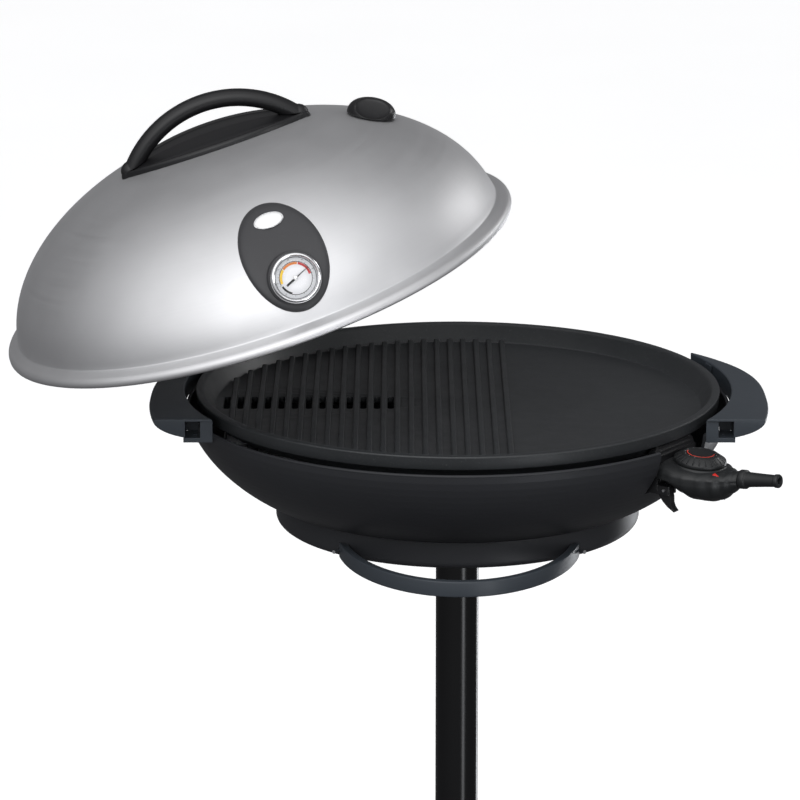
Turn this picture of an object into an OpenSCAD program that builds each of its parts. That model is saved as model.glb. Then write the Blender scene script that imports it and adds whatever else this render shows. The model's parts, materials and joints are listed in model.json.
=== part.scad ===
// Electric indoor grill on a pedestal, with a lift-off domed lid.
// Millimetres, +Z up, origin on the floor under the post, front towards -Y.
// The lid is drawn lifted off to the left; lid_lift = 0 seats it on the plate.

/* [Grill plate] */
// Height of the grill plate's rim above the floor
rim_z = 800; // [650:5:950]
// Outer diameter of the plate rim
plate_d = 460; // [440:2:470]
// Width of the flat rim
rim_w = 6.5; // [5:0.5:9]
// Height of the outer wall under the rim
skirt_h = 12; // [10:0.5:14]
// Depth of the cooking floor below the rim
plate_depth = 16; // [14:0.5:20]
// Horizontal run of the sloping inner wall
wall_run = 9.5; // [7:0.5:14]
// Thickness of the cooking floor
floor_t = 5; // [4:0.5:7]
// Height of the grilling ribs
rib_h = 4; // [2:0.5:6]
// Width of one rib
rib_w = 5; // [3.5:0.25:5.5]
// Distance from rib to rib
rib_pitch = 12; // [11:0.5:14]
// Where the ribbed part ends, right of the centre
rib_end = 43; // [10:1:80]
// Width of one drain slot
slot_w = 5.6; // [4:0.2:6]
// Length of one drain slot
slot_l = 40; // [28:1:50]
// Number of drain slots
slot_count = 13; // [9:1:13]

/* [Bowl and base drum] */
// How far the bowl's rim stands out beyond the plate
bowl_lip = 8.5; // [6.5:0.5:10]
// Drop from the plate rim to the bowl rim
bowl_drop = 15.4; // [14:0.2:18]
// Height of the bowl, rim to floor
bowl_h = 80.4; // [76:0.2:90]
// Wall of the bowl
bowl_t = 3; // [2.5:0.25:4]
// How far the base drum's wall lies inside the bowl's rim
drum_in = 78; // [70:0.5:86]
// Height of the base drum
drum_h = 24; // [20:0.5:32]
// Wall of the base drum
drum_t = 3; // [2.5:0.25:4]
// Rounding of the drum's lower edge
drum_e = 6; // [3:0.5:6]
// Radius of the bosses that the plate sits on
boss_r = 5; // [4:0.25:7]
// Width of the notch for the connector
notch_w = 70; // [66:1:80]
// Depth of the notch below the bowl rim
notch_h = 38; // [36:0.5:40]

/* [Front rail] */
// How far the rail stands out from the post's axis
rail_reach = 238; // [220:1:255]
// Half the width of the rail
rail_half = 106; // [100:1:112]
// Height of the rail's band
rail_h = 13.6; // [11:0.2:16]
// Thickness of the rail's band
rail_t = 7; // [5:0.5:9]

/* [Side handles] */
// Gap between the bowl's rim and the handles
handle_gap = 1.5; // [0.5:0.25:4]
// How far a handle stands out from that gap
handle_w = 28.5; // [24:0.5:36]
// Length of a handle in front of the centre line
handle_front = 113; // [105:1:118]
// Length of a handle behind the centre line
handle_back = 113; // [100:1:118]
// Thickness of a handle at its inner edge
handle_t = 18; // [15:0.5:20]
// Skin over the pocket in a handle's front end
handle_skin = 2; // [1.5:0.25:3]

/* [Post and floor base] */
// Outer diameter of the post
post_d = 38; // [34:1:42]
// Wall of the post tubes
post_t = 1.5; // [1.2:0.1:2.5]
// Height of the joint between the two post tubes
post_joint = 380; // [300:5:420]
// Clearance between the post and what holds it
post_fit = 0.05; // [0.02:0.01:0.1]
// Diameter of the floor base
base_d = 440; // [400:5:500]
// Height of the floor base at its rim
base_edge = 8; // [6:0.5:12]
// Rise of the base's dome from rim to collar
base_rise = 30; // [22:1:40]
// Wall of the base shell
base_t = 2; // [1.5:0.25:3]
// Height of the base's rubber feet
foot_h = 4; // [3:0.5:6]

/* [Connector and controller] */
// Direction of the connector, from +X
ctrl_az = -36; // [-38:0.5:-34]
// How far the connector's seam lies inside the plate's edge
seam_in = 1; // [0:0.5:4]
// Distance from the seam to the dial's centre
dial_out = 23; // [21.5:0.5:27]
// Diameter of the temperature dial
knob_d = 45; // [42:0.5:48]
// Height of the temperature dial
knob_h = 8.2; // [7:0.2:10]
// Half the width of the controller
ctrl_half = 33; // [31:0.5:34]
// How far the controller pulls out
ctrl_pull = 70; // [60:1:90]
// Radius of the temperature probe
probe_r = 3; // [2.5:0.25:4]
// Spread of the two heater pins from the middle
pin_y = 15; // [13:0.5:17]
// Radius of the heater tube
heater_r = 4.2; // [3.5:0.1:5]
// Radius of the bend-relief sleeve at its root
sleeve_r = 7; // [6:0.5:8]
// Length of the bend-relief sleeve
sleeve_l = 39; // [28:1:46]

/* [Lid] */
// How far the lid's rolled edge stands out beyond the plate's rim
lid_lip = 1; // [0:0.5:3]
// How far the dome lies inside the rolled edge
dome_in = 10.5; // [9:0.5:16]
// Height of the dome above the rolled edge
dome_h = 134.5; // [122:0.5:145]
// Height of the band below the dome
band_h = 12.5; // [11:0.5:18]
// Thickness of the lid's sheet
lid_t = 1.6; // [1:0.1:2.5]
// Gap under the seated lid
seat_gap = 0.3; // [0.1:0.1:0.6]
// Half the span of the lid's handle
grip_half = 85; // [78:1:92]
// Height of the handle's arch above the dome's top
grip_rise = 38; // [32:0.5:46]
// Thickness of the handle
grip_t = 15.5; // [13:0.5:17]
// Width of the handle's base plate
grip_base_w = 88; // [76:1:96]
// Thickness of the handle's base plate
grip_base_t = 5; // [4:0.5:7]
// Turn of the gauge from the lid's front
gauge_turn = 5.9; // [0:0.1:8]
// Height of the gauge above the lid's edge
gauge_z = 48; // [44:1:54]
// Upward tilt of the gauge's face
gauge_tilt = 16; // [14:1:20]
// Diameter of the gauge's bezel
bezel_d = 43.4; // [40:0.2:46]
// Half the width of the gauge surround
surround_w = 35.5; // [34:0.5:40]
// Thickness of the gauge surround
surround_t = 3.5; // [3:0.25:5]
// Distance of the vent cap from the lid's axis
vent_r = 136.5; // [130:0.5:148]
// Diameter of the vent cap
vent_d = 43; // [38:1:46]
// Height of the vent cap
vent_h = 15.5; // [14:0.5:20]

/* [Hidden] */

$fn = 120;
plate_r = plate_d / 2;
floor_r = plate_r - rim_w - wall_run;      // edge of the flat cooking floor
bowl_r = plate_r + bowl_lip;
drum_r = bowl_r - drum_in;
handle_in = bowl_r + handle_gap;
handle_reach = handle_in + handle_w;
seam_r = plate_r - seam_in;                // seam between connector and controller
dial_r = seam_r + dial_out;
lid_r = plate_r + lid_lip;
dome_r = lid_r - dome_in;
plate_under = plate_depth + floor_t;       // drop of the plate's underside
skirt_in = plate_r - rim_w - 1.5;          // inside of the plate's outer wall
bowl_floor = bowl_drop + bowl_h;           // drop of the bowl's floor
drum_floor = bowl_floor + drum_h;          // drop of the drum's underside
boss_at = floor_r - 9;                     // radius of the plate's four seats
post_r = post_d / 2;
socket_r = post_r + 5;
post_top = rim_z - bowl_floor - bowl_t - 2;
base_top = foot_h + base_edge + base_rise;
collar_h = 26;
// lid pose: turn about a fixed axis, from seated to lifted off
lid_axis = [0.1271, -0.903, 0.4104];
lid_pole = [-356.2, -234.6, -405.9];           // a point of that axis, from the rim's centre
lid_turn = 19.36;
// controller heights, below the plate rim
nose_z = -36;                              // height of the heater pins and probe
split_z = -38;                             // seam between the controller's halves
face_z = -25.5;                            // top of the controller at its inner end
knob_tilt = 6;                             // outward tilt of the dial and of the face under it
tail_x = seam_r + 64;                      // outer end of the controller's body
dial_z = face_z - (dial_r - seam_r) * tan(knob_tilt);
lever_x = seam_r + 6; lever_z = -49; lever_y = -23;
heater_out = seam_r - 63; heater_in = heater_out - 68; heater_z = -plate_under - heater_r - 0.2;
leg_a = asin(pin_y / heater_out);          // half angle between the heater's legs
tray_x0 = -(plate_r - 24); tray_x1 = -50; tray_w = 60; tray_h = 16; tray_z = -62;
reflector_z = -bowl_floor + bowl_t + 5; reflector_r = drum_r - 10.5;
grip_top = dome_h + grip_rise;
grip_R = grip_t / 2;
gauge_rho = dome_r * sqrt(1 - pow(gauge_z / dome_h, 2)); // distance of the gauge from the lid's axis
gauge_b = gauge_z * cos(gauge_tilt) - gauge_rho * sin(gauge_tilt);
gauge_face = gauge_rho * cos(gauge_tilt) + gauge_z * sin(gauge_tilt); // dome, along the gauge's axis
bezel_r = bezel_d / 2;
stem_r = 4;

module at_rim() { translate([0, 0, rim_z]) children(); }
module at_ctrl() { at_rim() rotate([0, 0, ctrl_az]) children(); }
module at_lid() {
  translate([0, 0, rim_z]) translate(lid_pole) rotate(a = lid_turn, v = lid_axis) translate(-lid_pole)
    translate([0, 0, seat_gap]) children();
}
// gauge frame: looks out along -Y, with the outline's Z up the dome
module at_gauge() { at_lid() rotate([0, 0, gauge_turn]) rotate([-gauge_tilt, 0, 0]) children(); }
// frame on the dome at the vent cap, Z along the dome's normal
vent_zl = dome_h * sqrt(1 - pow(vent_r / dome_r, 2));
vent_lean = atan(vent_r / pow(dome_r, 2) * pow(dome_h, 2) / vent_zl);
module at_vent() { at_lid() translate([vent_r, 0, vent_zl]) rotate([0, vent_lean, 0]) children(); }
// cylinder along +X and along -Y
module xcyl(r, h, x = 0) { translate([x, 0, 0]) rotate([0, 90, 0]) cylinder(r = r, h = h); }
module ycyl(r, h, y = 0) { translate([0, -y, 0]) rotate([90, 0, 0]) cylinder(r = r, h = h); }
// pan-head screw along -Z, head's underside at z = 0
module screw(r, l, hr, hh) {
  difference() {
    union() { translate([0, 0, -l]) cylinder(r = r, h = l + 0.01); cylinder(r = hr, h = hh); }
    translate([0, 0, hh / 2]) linear_extrude(hh) { square([hr * 1.3, hr * 0.3], true); square([hr * 0.3, hr * 1.3], true); }
  }
}

// ---- bowl -------------------------------------------------------------
// bowl curve, rim (a = 0) to floor (a = 1), drawn in by o
function bowl_pt(a, o) = [drum_r - o + (bowl_r - drum_r) * pow(1 - pow(a, 1.75), 0.763),
                          -bowl_drop - a * (bowl_h - o)];
bowl_n = 20;
module bowl_shell() color("#3b3f41") at_rim() {
  difference() {
    union() {
      rotate_extrude() polygon(concat([for (i = [0:bowl_n]) bowl_pt(sin(90 * i / bowl_n), 0)],
        [[0, -bowl_floor], [0, -bowl_floor + bowl_t]],
        [for (i = [bowl_n:-1:0]) bowl_pt(sin(90 * i / bowl_n), bowl_t)]));
      // seats for the grill plate, run down into the wall
      intersection() {
        for (a = [30, 150, 210, 270]) rotate([0, 0, a]) translate([boss_at, 0, -bowl_floor])
          cylinder(r = boss_r, h = bowl_floor - plate_under);
        rotate_extrude() polygon(concat([for (i = [0:bowl_n]) bowl_pt(sin(90 * i / bowl_n), bowl_t / 2)],
          [[0, -bowl_floor + bowl_t / 2], [0, 0], [bowl_pt(0, bowl_t / 2)[0], 0]]));
      }
    }
    // notch for the connector
    rotate([0, 0, ctrl_az]) translate([bowl_r - 34, -notch_w / 2, -bowl_drop - notch_h])
      cube([60, notch_w, notch_h + 20]);
    // post socket and its screws
    translate([0, 0, -bowl_floor - 1]) cylinder(r = 3, h = bowl_t + 2);
    for (a = [45:90:315]) rotate([0, 0, a]) translate([socket_r + 9, 0, -bowl_floor - 1])
      cylinder(r = 2.1, h = bowl_t + 2);
  }
}
// ---- inside the bowl: reflector dish with two rests, and the drip tray on them ----
module heat_reflector() color("#a9adb0") at_rim() {
  rotate_extrude() polygon([[0, reflector_z], [reflector_r, reflector_z], [reflector_r + 26, reflector_z + 12],
    [reflector_r + 26, reflector_z + 13], [reflector_r - 0.4, reflector_z + 1], [0, reflector_z + 1]]);
  for (x = [tray_x0 + 52, tray_x1 - 30]) translate([x - 8, -18, reflector_z + 0.5])
    cube([16, 36, tray_z - reflector_z - 0.5]);
  for (a = [0, 90, 180, 270]) rotate([0, 0, a + 15]) translate([120, 0, -bowl_floor + bowl_t])
    cylinder(r = 7, h = reflector_z + bowl_floor - bowl_t + 0.5);
}
module drip_tray() color("#b7babd") at_rim() difference() {
  translate([tray_x0, -tray_w / 2, tray_z]) cube([tray_x1 - tray_x0, tray_w, tray_h]);
  translate([tray_x0 + 1.2, 1.2 - tray_w / 2, tray_z + 1.2]) cube([tray_x1 - tray_x0 - 2.4, tray_w - 2.4, tray_h]);
}
// ---- base drum, open at the top, round-edged below ----------------------
module base_drum() color("#3f4345") at_rim() difference() {
  rotate_extrude() polygon(concat([[post_r + 1, -drum_floor], [drum_r - drum_e, -drum_floor]],
    [for (i = [1:6]) [drum_r - drum_e + drum_e * sin(15 * i), -drum_floor + drum_e - drum_e * cos(15 * i)]],
    [[drum_r, -bowl_floor], [drum_r - drum_t, -bowl_floor], [drum_r - drum_t, -drum_floor + drum_t],
     [post_r + 1, -drum_floor + drum_t]]));
  for (s = [-1, 1]) rotate([0, 0, -90 + s * rail_a]) translate([0, 0, rail_zc]) xcyl(2.1, drum_r + 9);
}
// ---- front rail: half an ellipse in plan --------------------------------
rail_c = 90;                               // ellipse's centre, in front of the post
rail_b = rail_reach - rail_c;
rail_zc = -drum_floor + 6.6;               // mid height of the rail
rail_a = 39.5;                             // its ends, from the front
function rail_pt(t, o) = [(rail_half - o) * sin(t), -rail_c - (rail_b - o) * cos(t)];
module front_rail() color("#6a7076") at_rim() difference() {
  translate([0, 0, rail_zc - rail_h / 2]) linear_extrude(rail_h)
    polygon(concat([for (t = [-108:4:108]) rail_pt(t, 0)], [for (t = [108:-4:-108]) rail_pt(t, rail_t)]));
  translate([0, 0, -drum_floor - 30]) cylinder(r = drum_r, h = 80);
  for (s = [-1, 1]) rotate([0, 0, -90 + s * rail_a]) translate([0, 0, rail_zc]) xcyl(1.7, 12, drum_r - 2);
}
module rail_screws() color("silver") at_rim() for (s = [-1, 1]) rotate([0, 0, -90 + s * rail_a])
  translate([drum_r - drum_t - 0.1, 0, rail_zc]) rotate([0, -90, 0]) screw(1.65, 12, 3.2, 2.4);
// ---- side handles --------------------------------------------------------
bulge_y = -45;                             // where a handle is widest
function grip_x(y) = y > bulge_y
  ? handle_reach - (handle_reach - sqrt(pow(handle_in + 1.5, 2) - pow(handle_back, 2)))
    * pow((y - bulge_y) / (handle_back - bulge_y), 3)
  : handle_reach - 6.5 * pow((y - bulge_y) / 68, 2);
br_x = handle_in - 18;                            // outer face of the bracket at the front
br_back = handle_back - 51;                // near side of the bracket at the back
module handle_right() difference() {
  intersection() {
    translate([0, 0, -handle_t]) linear_extrude(handle_t) difference() {
      polygon(concat([[handle_in - 90, -handle_front]], [for (i = [0:28])
        let (y = -handle_front + i / 28 * (handle_front + handle_back)) [grip_x(y), y]], [[handle_in - 90, handle_back]]));
      circle(r = handle_in);
    }
    translate([12, -36, 0]) rotate_extrude() polygon(concat([[0, 0]],
      [for (i = [0:9]) [handle_reach - 62 + (53.5 + 0) * cos(10 * i), -1.2 - (handle_t - 1.2) * sin(10 * i)]],
      [[0, -handle_t]]));
  }
  // pocket and bracket slot at the front end, bracket slot at the back
  translate([br_x - 22, -handle_front - 1, -handle_t - 1]) cube([35, 29, handle_t + 1 - handle_skin]);
  translate([br_x - 22, br_back, -handle_t - 1]) cube([28, 24, handle_t + 1 - handle_skin]);
}
module left_handle() color("#41464c") at_rim() mirror([1, 0, 0]) handle_right();
module right_handle() color("#41464c") at_rim() handle_right();
module bracket_right() {
  difference() {
    translate([0, 26 - handle_front, 0]) rotate([90, 0, 0]) linear_extrude(24.2) polygon([[br_x - 18, -handle_t - 3],
      [br_x + 14.5, -handle_t - 3], [br_x + 14.5, -handle_t + 0.9], [br_x, -handle_t + 0.9], [br_x, -handle_skin], [br_x - 18, -handle_skin]]);
    translate([0, 0, -40]) cylinder(r = bowl_r + 0.3, h = 60, $fn = 360);
    translate([br_x + 5, 13 - handle_front, -handle_t - 4]) cylinder(r = 1.6, h = 5);
  }
  difference() {
    translate([br_x - 18, br_back, -handle_t]) cube([24, 24, handle_t - handle_skin]);
    translate([0, 0, -40]) cylinder(r = bowl_r + 0.3, h = 60, $fn = 360);
  }
}
module handle_brackets() color("#4a4f55") at_rim() { bracket_right(); mirror([1, 0, 0]) bracket_right(); }
module handle_screws() color("silver") at_rim() for (s = [0, 1]) mirror([s, 0, 0])
  translate([br_x + 5, -handle_front + 13, -handle_t - 3]) mirror([0, 0, 1]) screw(1.55, 2.9, 3, 1.6);
// ---- post ------------------------------------------------------------------
module post_socket() color("#55585b") at_rim() difference() {
  union() {
    translate([0, 0, -bowl_floor - 3]) cylinder(r = socket_r + 16, h = 3);
    translate([0, 0, -drum_floor + drum_t]) cylinder(r = socket_r, h = drum_h - drum_t);
  }
  translate([0, 0, -drum_floor - 1]) cylinder(r = post_r + post_fit, h = drum_h - 4);
  for (a = [45:90:315]) rotate([0, 0, a]) translate([socket_r + 9, 0, -bowl_floor - 4]) cylinder(r = 1.7, h = 5);
}
module socket_screws() color("silver") at_rim() for (a = [45:90:315]) rotate([0, 0, a])
  translate([socket_r + 9, 0, -bowl_floor + bowl_t]) screw(1.65, 9, 3.4, 2.2);
post_end = rim_z - bowl_floor - 5;         // top end of the post, under the socket's cap
module upper_post() color("#1c1d1f") difference() {
  translate([0, 0, post_joint]) cylinder(r = post_r, h = post_end - post_joint);
  translate([0, 0, post_joint - 1]) cylinder(r = post_r - post_t, h = post_end - post_joint + 2);
  for (z = [post_joint + 30]) translate([0, 0, z]) ycyl(2.6, post_r + 2, 0);
}
module lower_post() color("#1c1d1f") difference() {
  translate([0, 0, base_top - base_rise + 4]) cylinder(r = post_r, h = post_joint - base_top + base_rise - 4);
  translate([0, 0, base_top - base_rise + 7]) cylinder(r = post_r - post_t, h = post_joint);
  translate([0, 0, 1]) cylinder(r = 4.2, h = base_top);
  translate([0, 0, post_joint - 30]) ycyl(2.6, post_r + 2, 0);
}
module post_coupler() color("#8a8d90") difference() {
  translate([0, 0, post_joint - 50]) cylinder(r = post_r - post_t - post_fit, h = 100);
  translate([0, 0, post_joint - 51]) cylinder(r = post_r - post_t - 4, h = 102);
  for (z = [-30, 30]) translate([0, 0, post_joint + z]) ycyl(2.1, post_r, 0);
}
module post_screws() color("silver") for (z = [-30, 30]) translate([0, -post_r, post_joint + z])
  rotate([90, 0, 0]) screw(2.05, 8, 4.2, 2.4);
// ---- floor base ---------------------------------------------------------------
base_r = base_d / 2;
function base_pt(i, o) = [post_r + 14 + (base_r - 14 - post_r) * sin(i) - o * sin(i),
                          base_top - base_rise + (base_rise - o) * (1 - pow(sin(i), 2.4)) * 1];
module stand_base() color("#26282a") difference() {
  union() {
    rotate_extrude() polygon(concat([[post_r + 14, base_top]], [for (i = [10:10:90]) base_pt(i, 0)],
      [[base_r, foot_h], [base_r - base_t, foot_h]], [for (i = [90:-10:10]) base_pt(i, base_t)],
      [[post_r + 14, base_top - base_t]]));
    translate([0, 0, base_top - base_rise]) cylinder(r = post_r + 14, h = base_rise);
    translate([0, 0, base_top - 0.01]) cylinder(r = post_r + 4, h = collar_h - 8);
  }
  translate([0, 0, base_top - base_rise + 4]) cylinder(r = post_r + post_fit, h = 100);
  translate([0, 0, 1]) cylinder(r = 4.2, h = 60);
}
module base_weight() color("#34373a") difference() {
  translate([0, 0, foot_h]) cylinder(r = base_r - base_t - 0.4, h = base_edge);
  translate([0, 0, 1]) cylinder(r = 4.2, h = 60);
}
module base_bolt() color("silver") difference() {
  union() {
    translate([0, 0, foot_h]) cylinder(r = 4, h = base_top - foot_h - 6);
    translate([0, 0, foot_h - 3]) cylinder(r = 9, h = 3);
    translate([0, 0, base_top - base_rise + 7]) cylinder(r = 7, h = 6, $fn = 6);
  }
  translate([0, 0, foot_h - 4]) cylinder(r = 3, h = 2.5, $fn = 6);
}
module base_foot_ring() color("#101112") for (a = [45:60:345]) rotate([0, 0, a])
  translate([base_r - 24, 0, 0]) cylinder(r = 10, h = foot_h);
// pad over the bolt's head, in the middle
module base_pad() color("#101112") difference() {
  cylinder(r = 13, h = foot_h);
  translate([0, 0, foot_h - 3.3]) cylinder(r = 9.3, h = foot_h);
}
module base_feet() { base_foot_ring(); base_pad(); }
// ---- grill plate ------------------------------------------------------------------
module grill_plate() color("#47494c") at_rim() difference() {
  union() {
    rotate_extrude() polygon([[0, -plate_depth], [floor_r, -plate_depth], [plate_r - rim_w, 0],
      [plate_r - 0.6, 0], [plate_r, -0.6], [plate_r - 1, -skirt_h], [skirt_in - 1, -skirt_h],
      [floor_r + 2, -plate_under], [0, -plate_under]]);
    intersection() {
      for (i = [0:ceil((floor_r + rib_end) / rib_pitch)]) let (x = rib_end - i * rib_pitch)
        if (x > -floor_r + 8) translate([x - rib_w / 2, -floor_r, -plate_depth - 0.5])
          cube([rib_w, 2 * floor_r, rib_h + 0.5]);
      translate([0, 0, -plate_depth - 1]) cylinder(r = floor_r - 1.5, h = 20);
    }
  }
  for (i = [0:slot_count - 1]) translate([rib_end - rib_pitch * (i + 8.5), 0, -plate_under - 1]) {
    translate([-slot_w / 2, -slot_l / 2 + slot_w / 2, 0]) cube([slot_w, slot_l - slot_w, floor_t + 2]);
    for (s = [-1, 1]) translate([0, s * (slot_l - slot_w) / 2, 0]) cylinder(r = slot_w / 2, h = floor_t + 2, $fn = 24);
  }
}
// ---- heating element: one tube, two arcs joined by hairpins, two legs ---------------------
hair_a = 144;                              // where the arcs turn back, from +X
hair_r = (heater_out - heater_in) / 2;
leg_end = heater_out * cos(leg_a) + 22;    // outer end of the straight legs
hair_p = hair_a - ctrl_az; hair_m = hair_a + ctrl_az;   // the same, from the connector, each way round
module heater_arc(a0, a1, r) rotate([0, 0, a0]) rotate_extrude(angle = a1 - a0) translate([r, 0]) circle(r = heater_r, $fn = 48);
module heating_element() color("#4d4b48") at_ctrl() translate([0, 0, heater_z]) {
  heater_arc(-hair_m - 1, hair_p + 1, heater_in);
  heater_arc(leg_a, hair_p + 1, heater_out);
  heater_arc(-hair_m - 1, -leg_a, heater_out);
  // hairpins, swaged a little fatter
  for (a = [hair_p, -hair_m - 180]) rotate([0, 0, a]) translate([(a > 0 ? 1 : -1) * (heater_in + hair_r), 0, 0])
    rotate_extrude(angle = 180) translate([hair_r, 0]) circle(r = heater_r + 0.2, $fn = 48);
  for (s = [-1, 1]) {
    translate([0, s * pin_y, 0]) xcyl(heater_r, leg_end + 3 - heater_out + 6, heater_out - 6);
    // crimped end, dropping to the flat pin line
    translate([leg_end, s * pin_y - 3, nose_z - heater_z - 3]) cube([7, 6, heater_z - nose_z + 6]);
    translate([0, s * pin_y, nose_z - heater_z]) xcyl(2.4, seam_r - 4 - leg_end - 5, leg_end + 5);
  }
}
clamp_w = 16;
// clamps round the arcs, the middle one clear of the hairpin beside it
clamp_a = [75, 360 - hair_a - asin((hair_r + heater_r + clamp_w / 2 + 1.1) / (heater_in + hair_r)), 315];
module element_clamps() color("#7d7f80") at_rim() for (a = clamp_a) rotate([0, 0, a]) difference() {
  translate([heater_in + 14, -clamp_w / 2, -plate_under - 2]) cube([heater_out - heater_in - 28, clamp_w, 2]);
  translate([heater_in + hair_r, 0, -plate_under - 3]) cylinder(r = 2.1, h = 5);
}
module clamp_screws() color("silver") at_rim() for (a = clamp_a) rotate([0, 0, a])
  translate([heater_in + hair_r, 0, -plate_under - 2]) mirror([0, 0, 1]) screw(2.05, 2, 4, 2.4);
// ---- connector housing under the plate ---------------------------------------------------------
house_x = seam_r - 53; house_y = 30; house_top = -plate_under; house_bot = -50; hood_x = seam_r - 3;
module connector_housing() color("#2b2e30") at_ctrl() difference() {
  union() {
    translate([house_x, -house_y, house_bot]) cube([seam_r - 0.4 - house_x, 2 * house_y, house_top - house_bot]);
    // hood sloping from the plate's wall down to the seam, with three ribs
    intersection() {
      translate([0, ctrl_half - 1, 0]) rotate([90, 0, 0]) linear_extrude(2 * ctrl_half - 2) polygon([[seam_r - 16, house_top - 4],
        [seam_r - 16, house_top - 0.4], [skirt_in - 5, house_top - 0.4], [skirt_in + 0.6, -skirt_h - 0.4],
        [seam_r - 4, -skirt_h - 0.4], [seam_r - 0.4, face_z + 0.8], [seam_r - 0.4, split_z]]);
      translate([seam_r - 20, 0, 0]) rotate([90, 0, 90]) linear_extrude(30) polygon(concat(ctrl_sec(1),
        [[ctrl_half - 4, face_z + 9], [ctrl_half - 8, face_z + 14], [8 - ctrl_half, face_z + 14], [4 - ctrl_half, face_z + 9]]));
    }
    for (i = [0:2]) translate([seam_r - 3.6 + i * 1.05, 6 - house_y, -skirt_h - 2.6 - i * 3.6]) cube([1.3, 2 * house_y - 12, 1.3]);
    // ears for the release lever
    for (y = [lever_y - 6.6, lever_y + 4.2]) translate([seam_r - 14, y, lever_z - 4]) cube([lever_x + 4 - seam_r + 14, 2.4, 7.5]);
  }
  // socket for the controller's nose
  translate([seam_r - 22, -house_y + 3, nose_z - 9]) cube([40, 2 * house_y - 6, 18]);
  // pilot holes for the housing's screws
  for (s = [-1, 1]) translate([house_x + 8, s * (house_y - 5), house_bot - 1]) cylinder(r = 1.7, h = 10);
  // heater legs and probe
  for (s = [-1, 1]) translate([house_x - 1, s * pin_y - heater_r - 0.3, nose_z - heater_r - 0.3])
    cube([leg_end + 8 - house_x + 1, 2 * heater_r + 0.6, -nose_z]);
  for (s = [-1, 1]) translate([house_x, s * pin_y, nose_z]) xcyl(2.6, 60);
  translate([0, 0, nose_z]) xcyl(probe_r + 0.5, 60, house_x - 1);
  // lever's pin
  translate([lever_x, lever_y, lever_z]) ycyl(1.25, 40, -20);
}
module housing_screws() color("silver") at_ctrl() for (s = [-1, 1])
  translate([house_x + 8, s * (house_y - 5), house_bot]) mirror([0, 0, 1]) screw(1.65, 8, 3.2, 2);
module lever_pin() color("silver") at_ctrl() translate([lever_x, lever_y, lever_z]) ycyl(1.2, 15.6, -7.8);
module lever_spring() color("silver") at_ctrl() translate([lever_x, lever_y, lever_z]) difference() {
  ycyl(2.6, 1.2, 2.9);
  ycyl(1.25, 3, 2);
}
// curved release tongue
module release_lever() color("#303335") at_ctrl() translate([lever_x, lever_y, lever_z]) difference() {
  union() {
    ycyl(3, 6.4, -3.6);
    translate([0, -2.8, 0]) rotate([-90, 0, 0]) linear_extrude(6.4) polygon([[-3, 0], [-3, 1.4], [-8, 2], [-8.3, 3.4], [-6.6, 7],
      [-3.1, 11.4], [1.6, 15.4], [8, 19], [8.9, 18.2], [6, 15], [4.6, 11.5], [4.4, 6], [3, 0]]);
  }
  ycyl(1.25, 20, -10);
}
// ---- controller ------------------------------------------------------------------------------------
// half width at x, less o
ctrl_wide = seam_r + 14;                   // where the body is widest
function half_w(x, o) = (x < ctrl_wide ? ctrl_half - 1.5 * pow((ctrl_wide - x) / (ctrl_wide - seam_r), 2)
  : 7.5 + (ctrl_half - 7.5) * sqrt(max(0, 1 - pow((x - ctrl_wide) / (tail_x - ctrl_wide), 2)))) - o;
// cross-section, less o: flat-topped above its widest line, deeper below it
ctrl_low = -58.5;
function ctrl_sec(o) = [for (i = [-9:9]) let (t = i * 10, w = ctrl_half - o, k = abs(sin(t)))
    [w * sign(t) * k, split_z - (split_z - ctrl_low - o) * pow(max(0, 1 - pow(k, 2.2)), 1 / 2.2)]];
function ctrl_top(o) = [for (i = [8:-1:-8]) let (t = i * 10, w = ctrl_half - o, k = abs(sin(t)))
    [w * sign(t) * k, split_z + (face_z - split_z - o) * pow(max(0, 1 - pow(k, 2.8)), 1 / 2.8)]];
// body outline in plan crossed with its side view, drawn in by o
module ctrl_body(o) intersection() {
  translate([0, 0, -70]) linear_extrude(60) polygon(concat(
    [for (i = [0:20]) let (x = seam_r + o + (tail_x - seam_r - 2 * o) * sin(4.5 * i)) [x, -half_w(x, o)]],
    [for (i = [20:-1:0]) let (x = seam_r + o + (tail_x - seam_r - 2 * o) * sin(4.5 * i)) [x, half_w(x, o)]]));
  translate([0, 40, 0]) rotate([90, 0, 0]) linear_extrude(80) polygon([
    [seam_r + o, face_z - o], [seam_r + 42, face_z - 4.4 - o], [seam_r + 48, face_z - 6.4 - o], [tail_x - o, face_z - 5.4 - o],
    [tail_x - o, -43.5 + o], [tail_x - 4, -48 + o], [tail_x - 11, -53.5 + o], [tail_x - 22, ctrl_low + o], [seam_r + 29, ctrl_low + o],
    [seam_r + 18, -53 + o], [seam_r + 13, -45.5 + o], [seam_r + o, -41.5 + o]]);
  translate([seam_r - 1, 0, 0]) rotate([90, 0, 90]) linear_extrude(80) polygon(concat(ctrl_sec(o), ctrl_top(o)));
}
module at_dial() { at_ctrl() translate([dial_r, 0, dial_z]) rotate([0, knob_tilt, 0]) children(); }
tail_z = -36;                              // height of the bend relief's root
module at_tail() { at_ctrl() translate([tail_x - 0.5, 0, tail_z]) rotate([0, -7, 0]) children(); }
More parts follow.
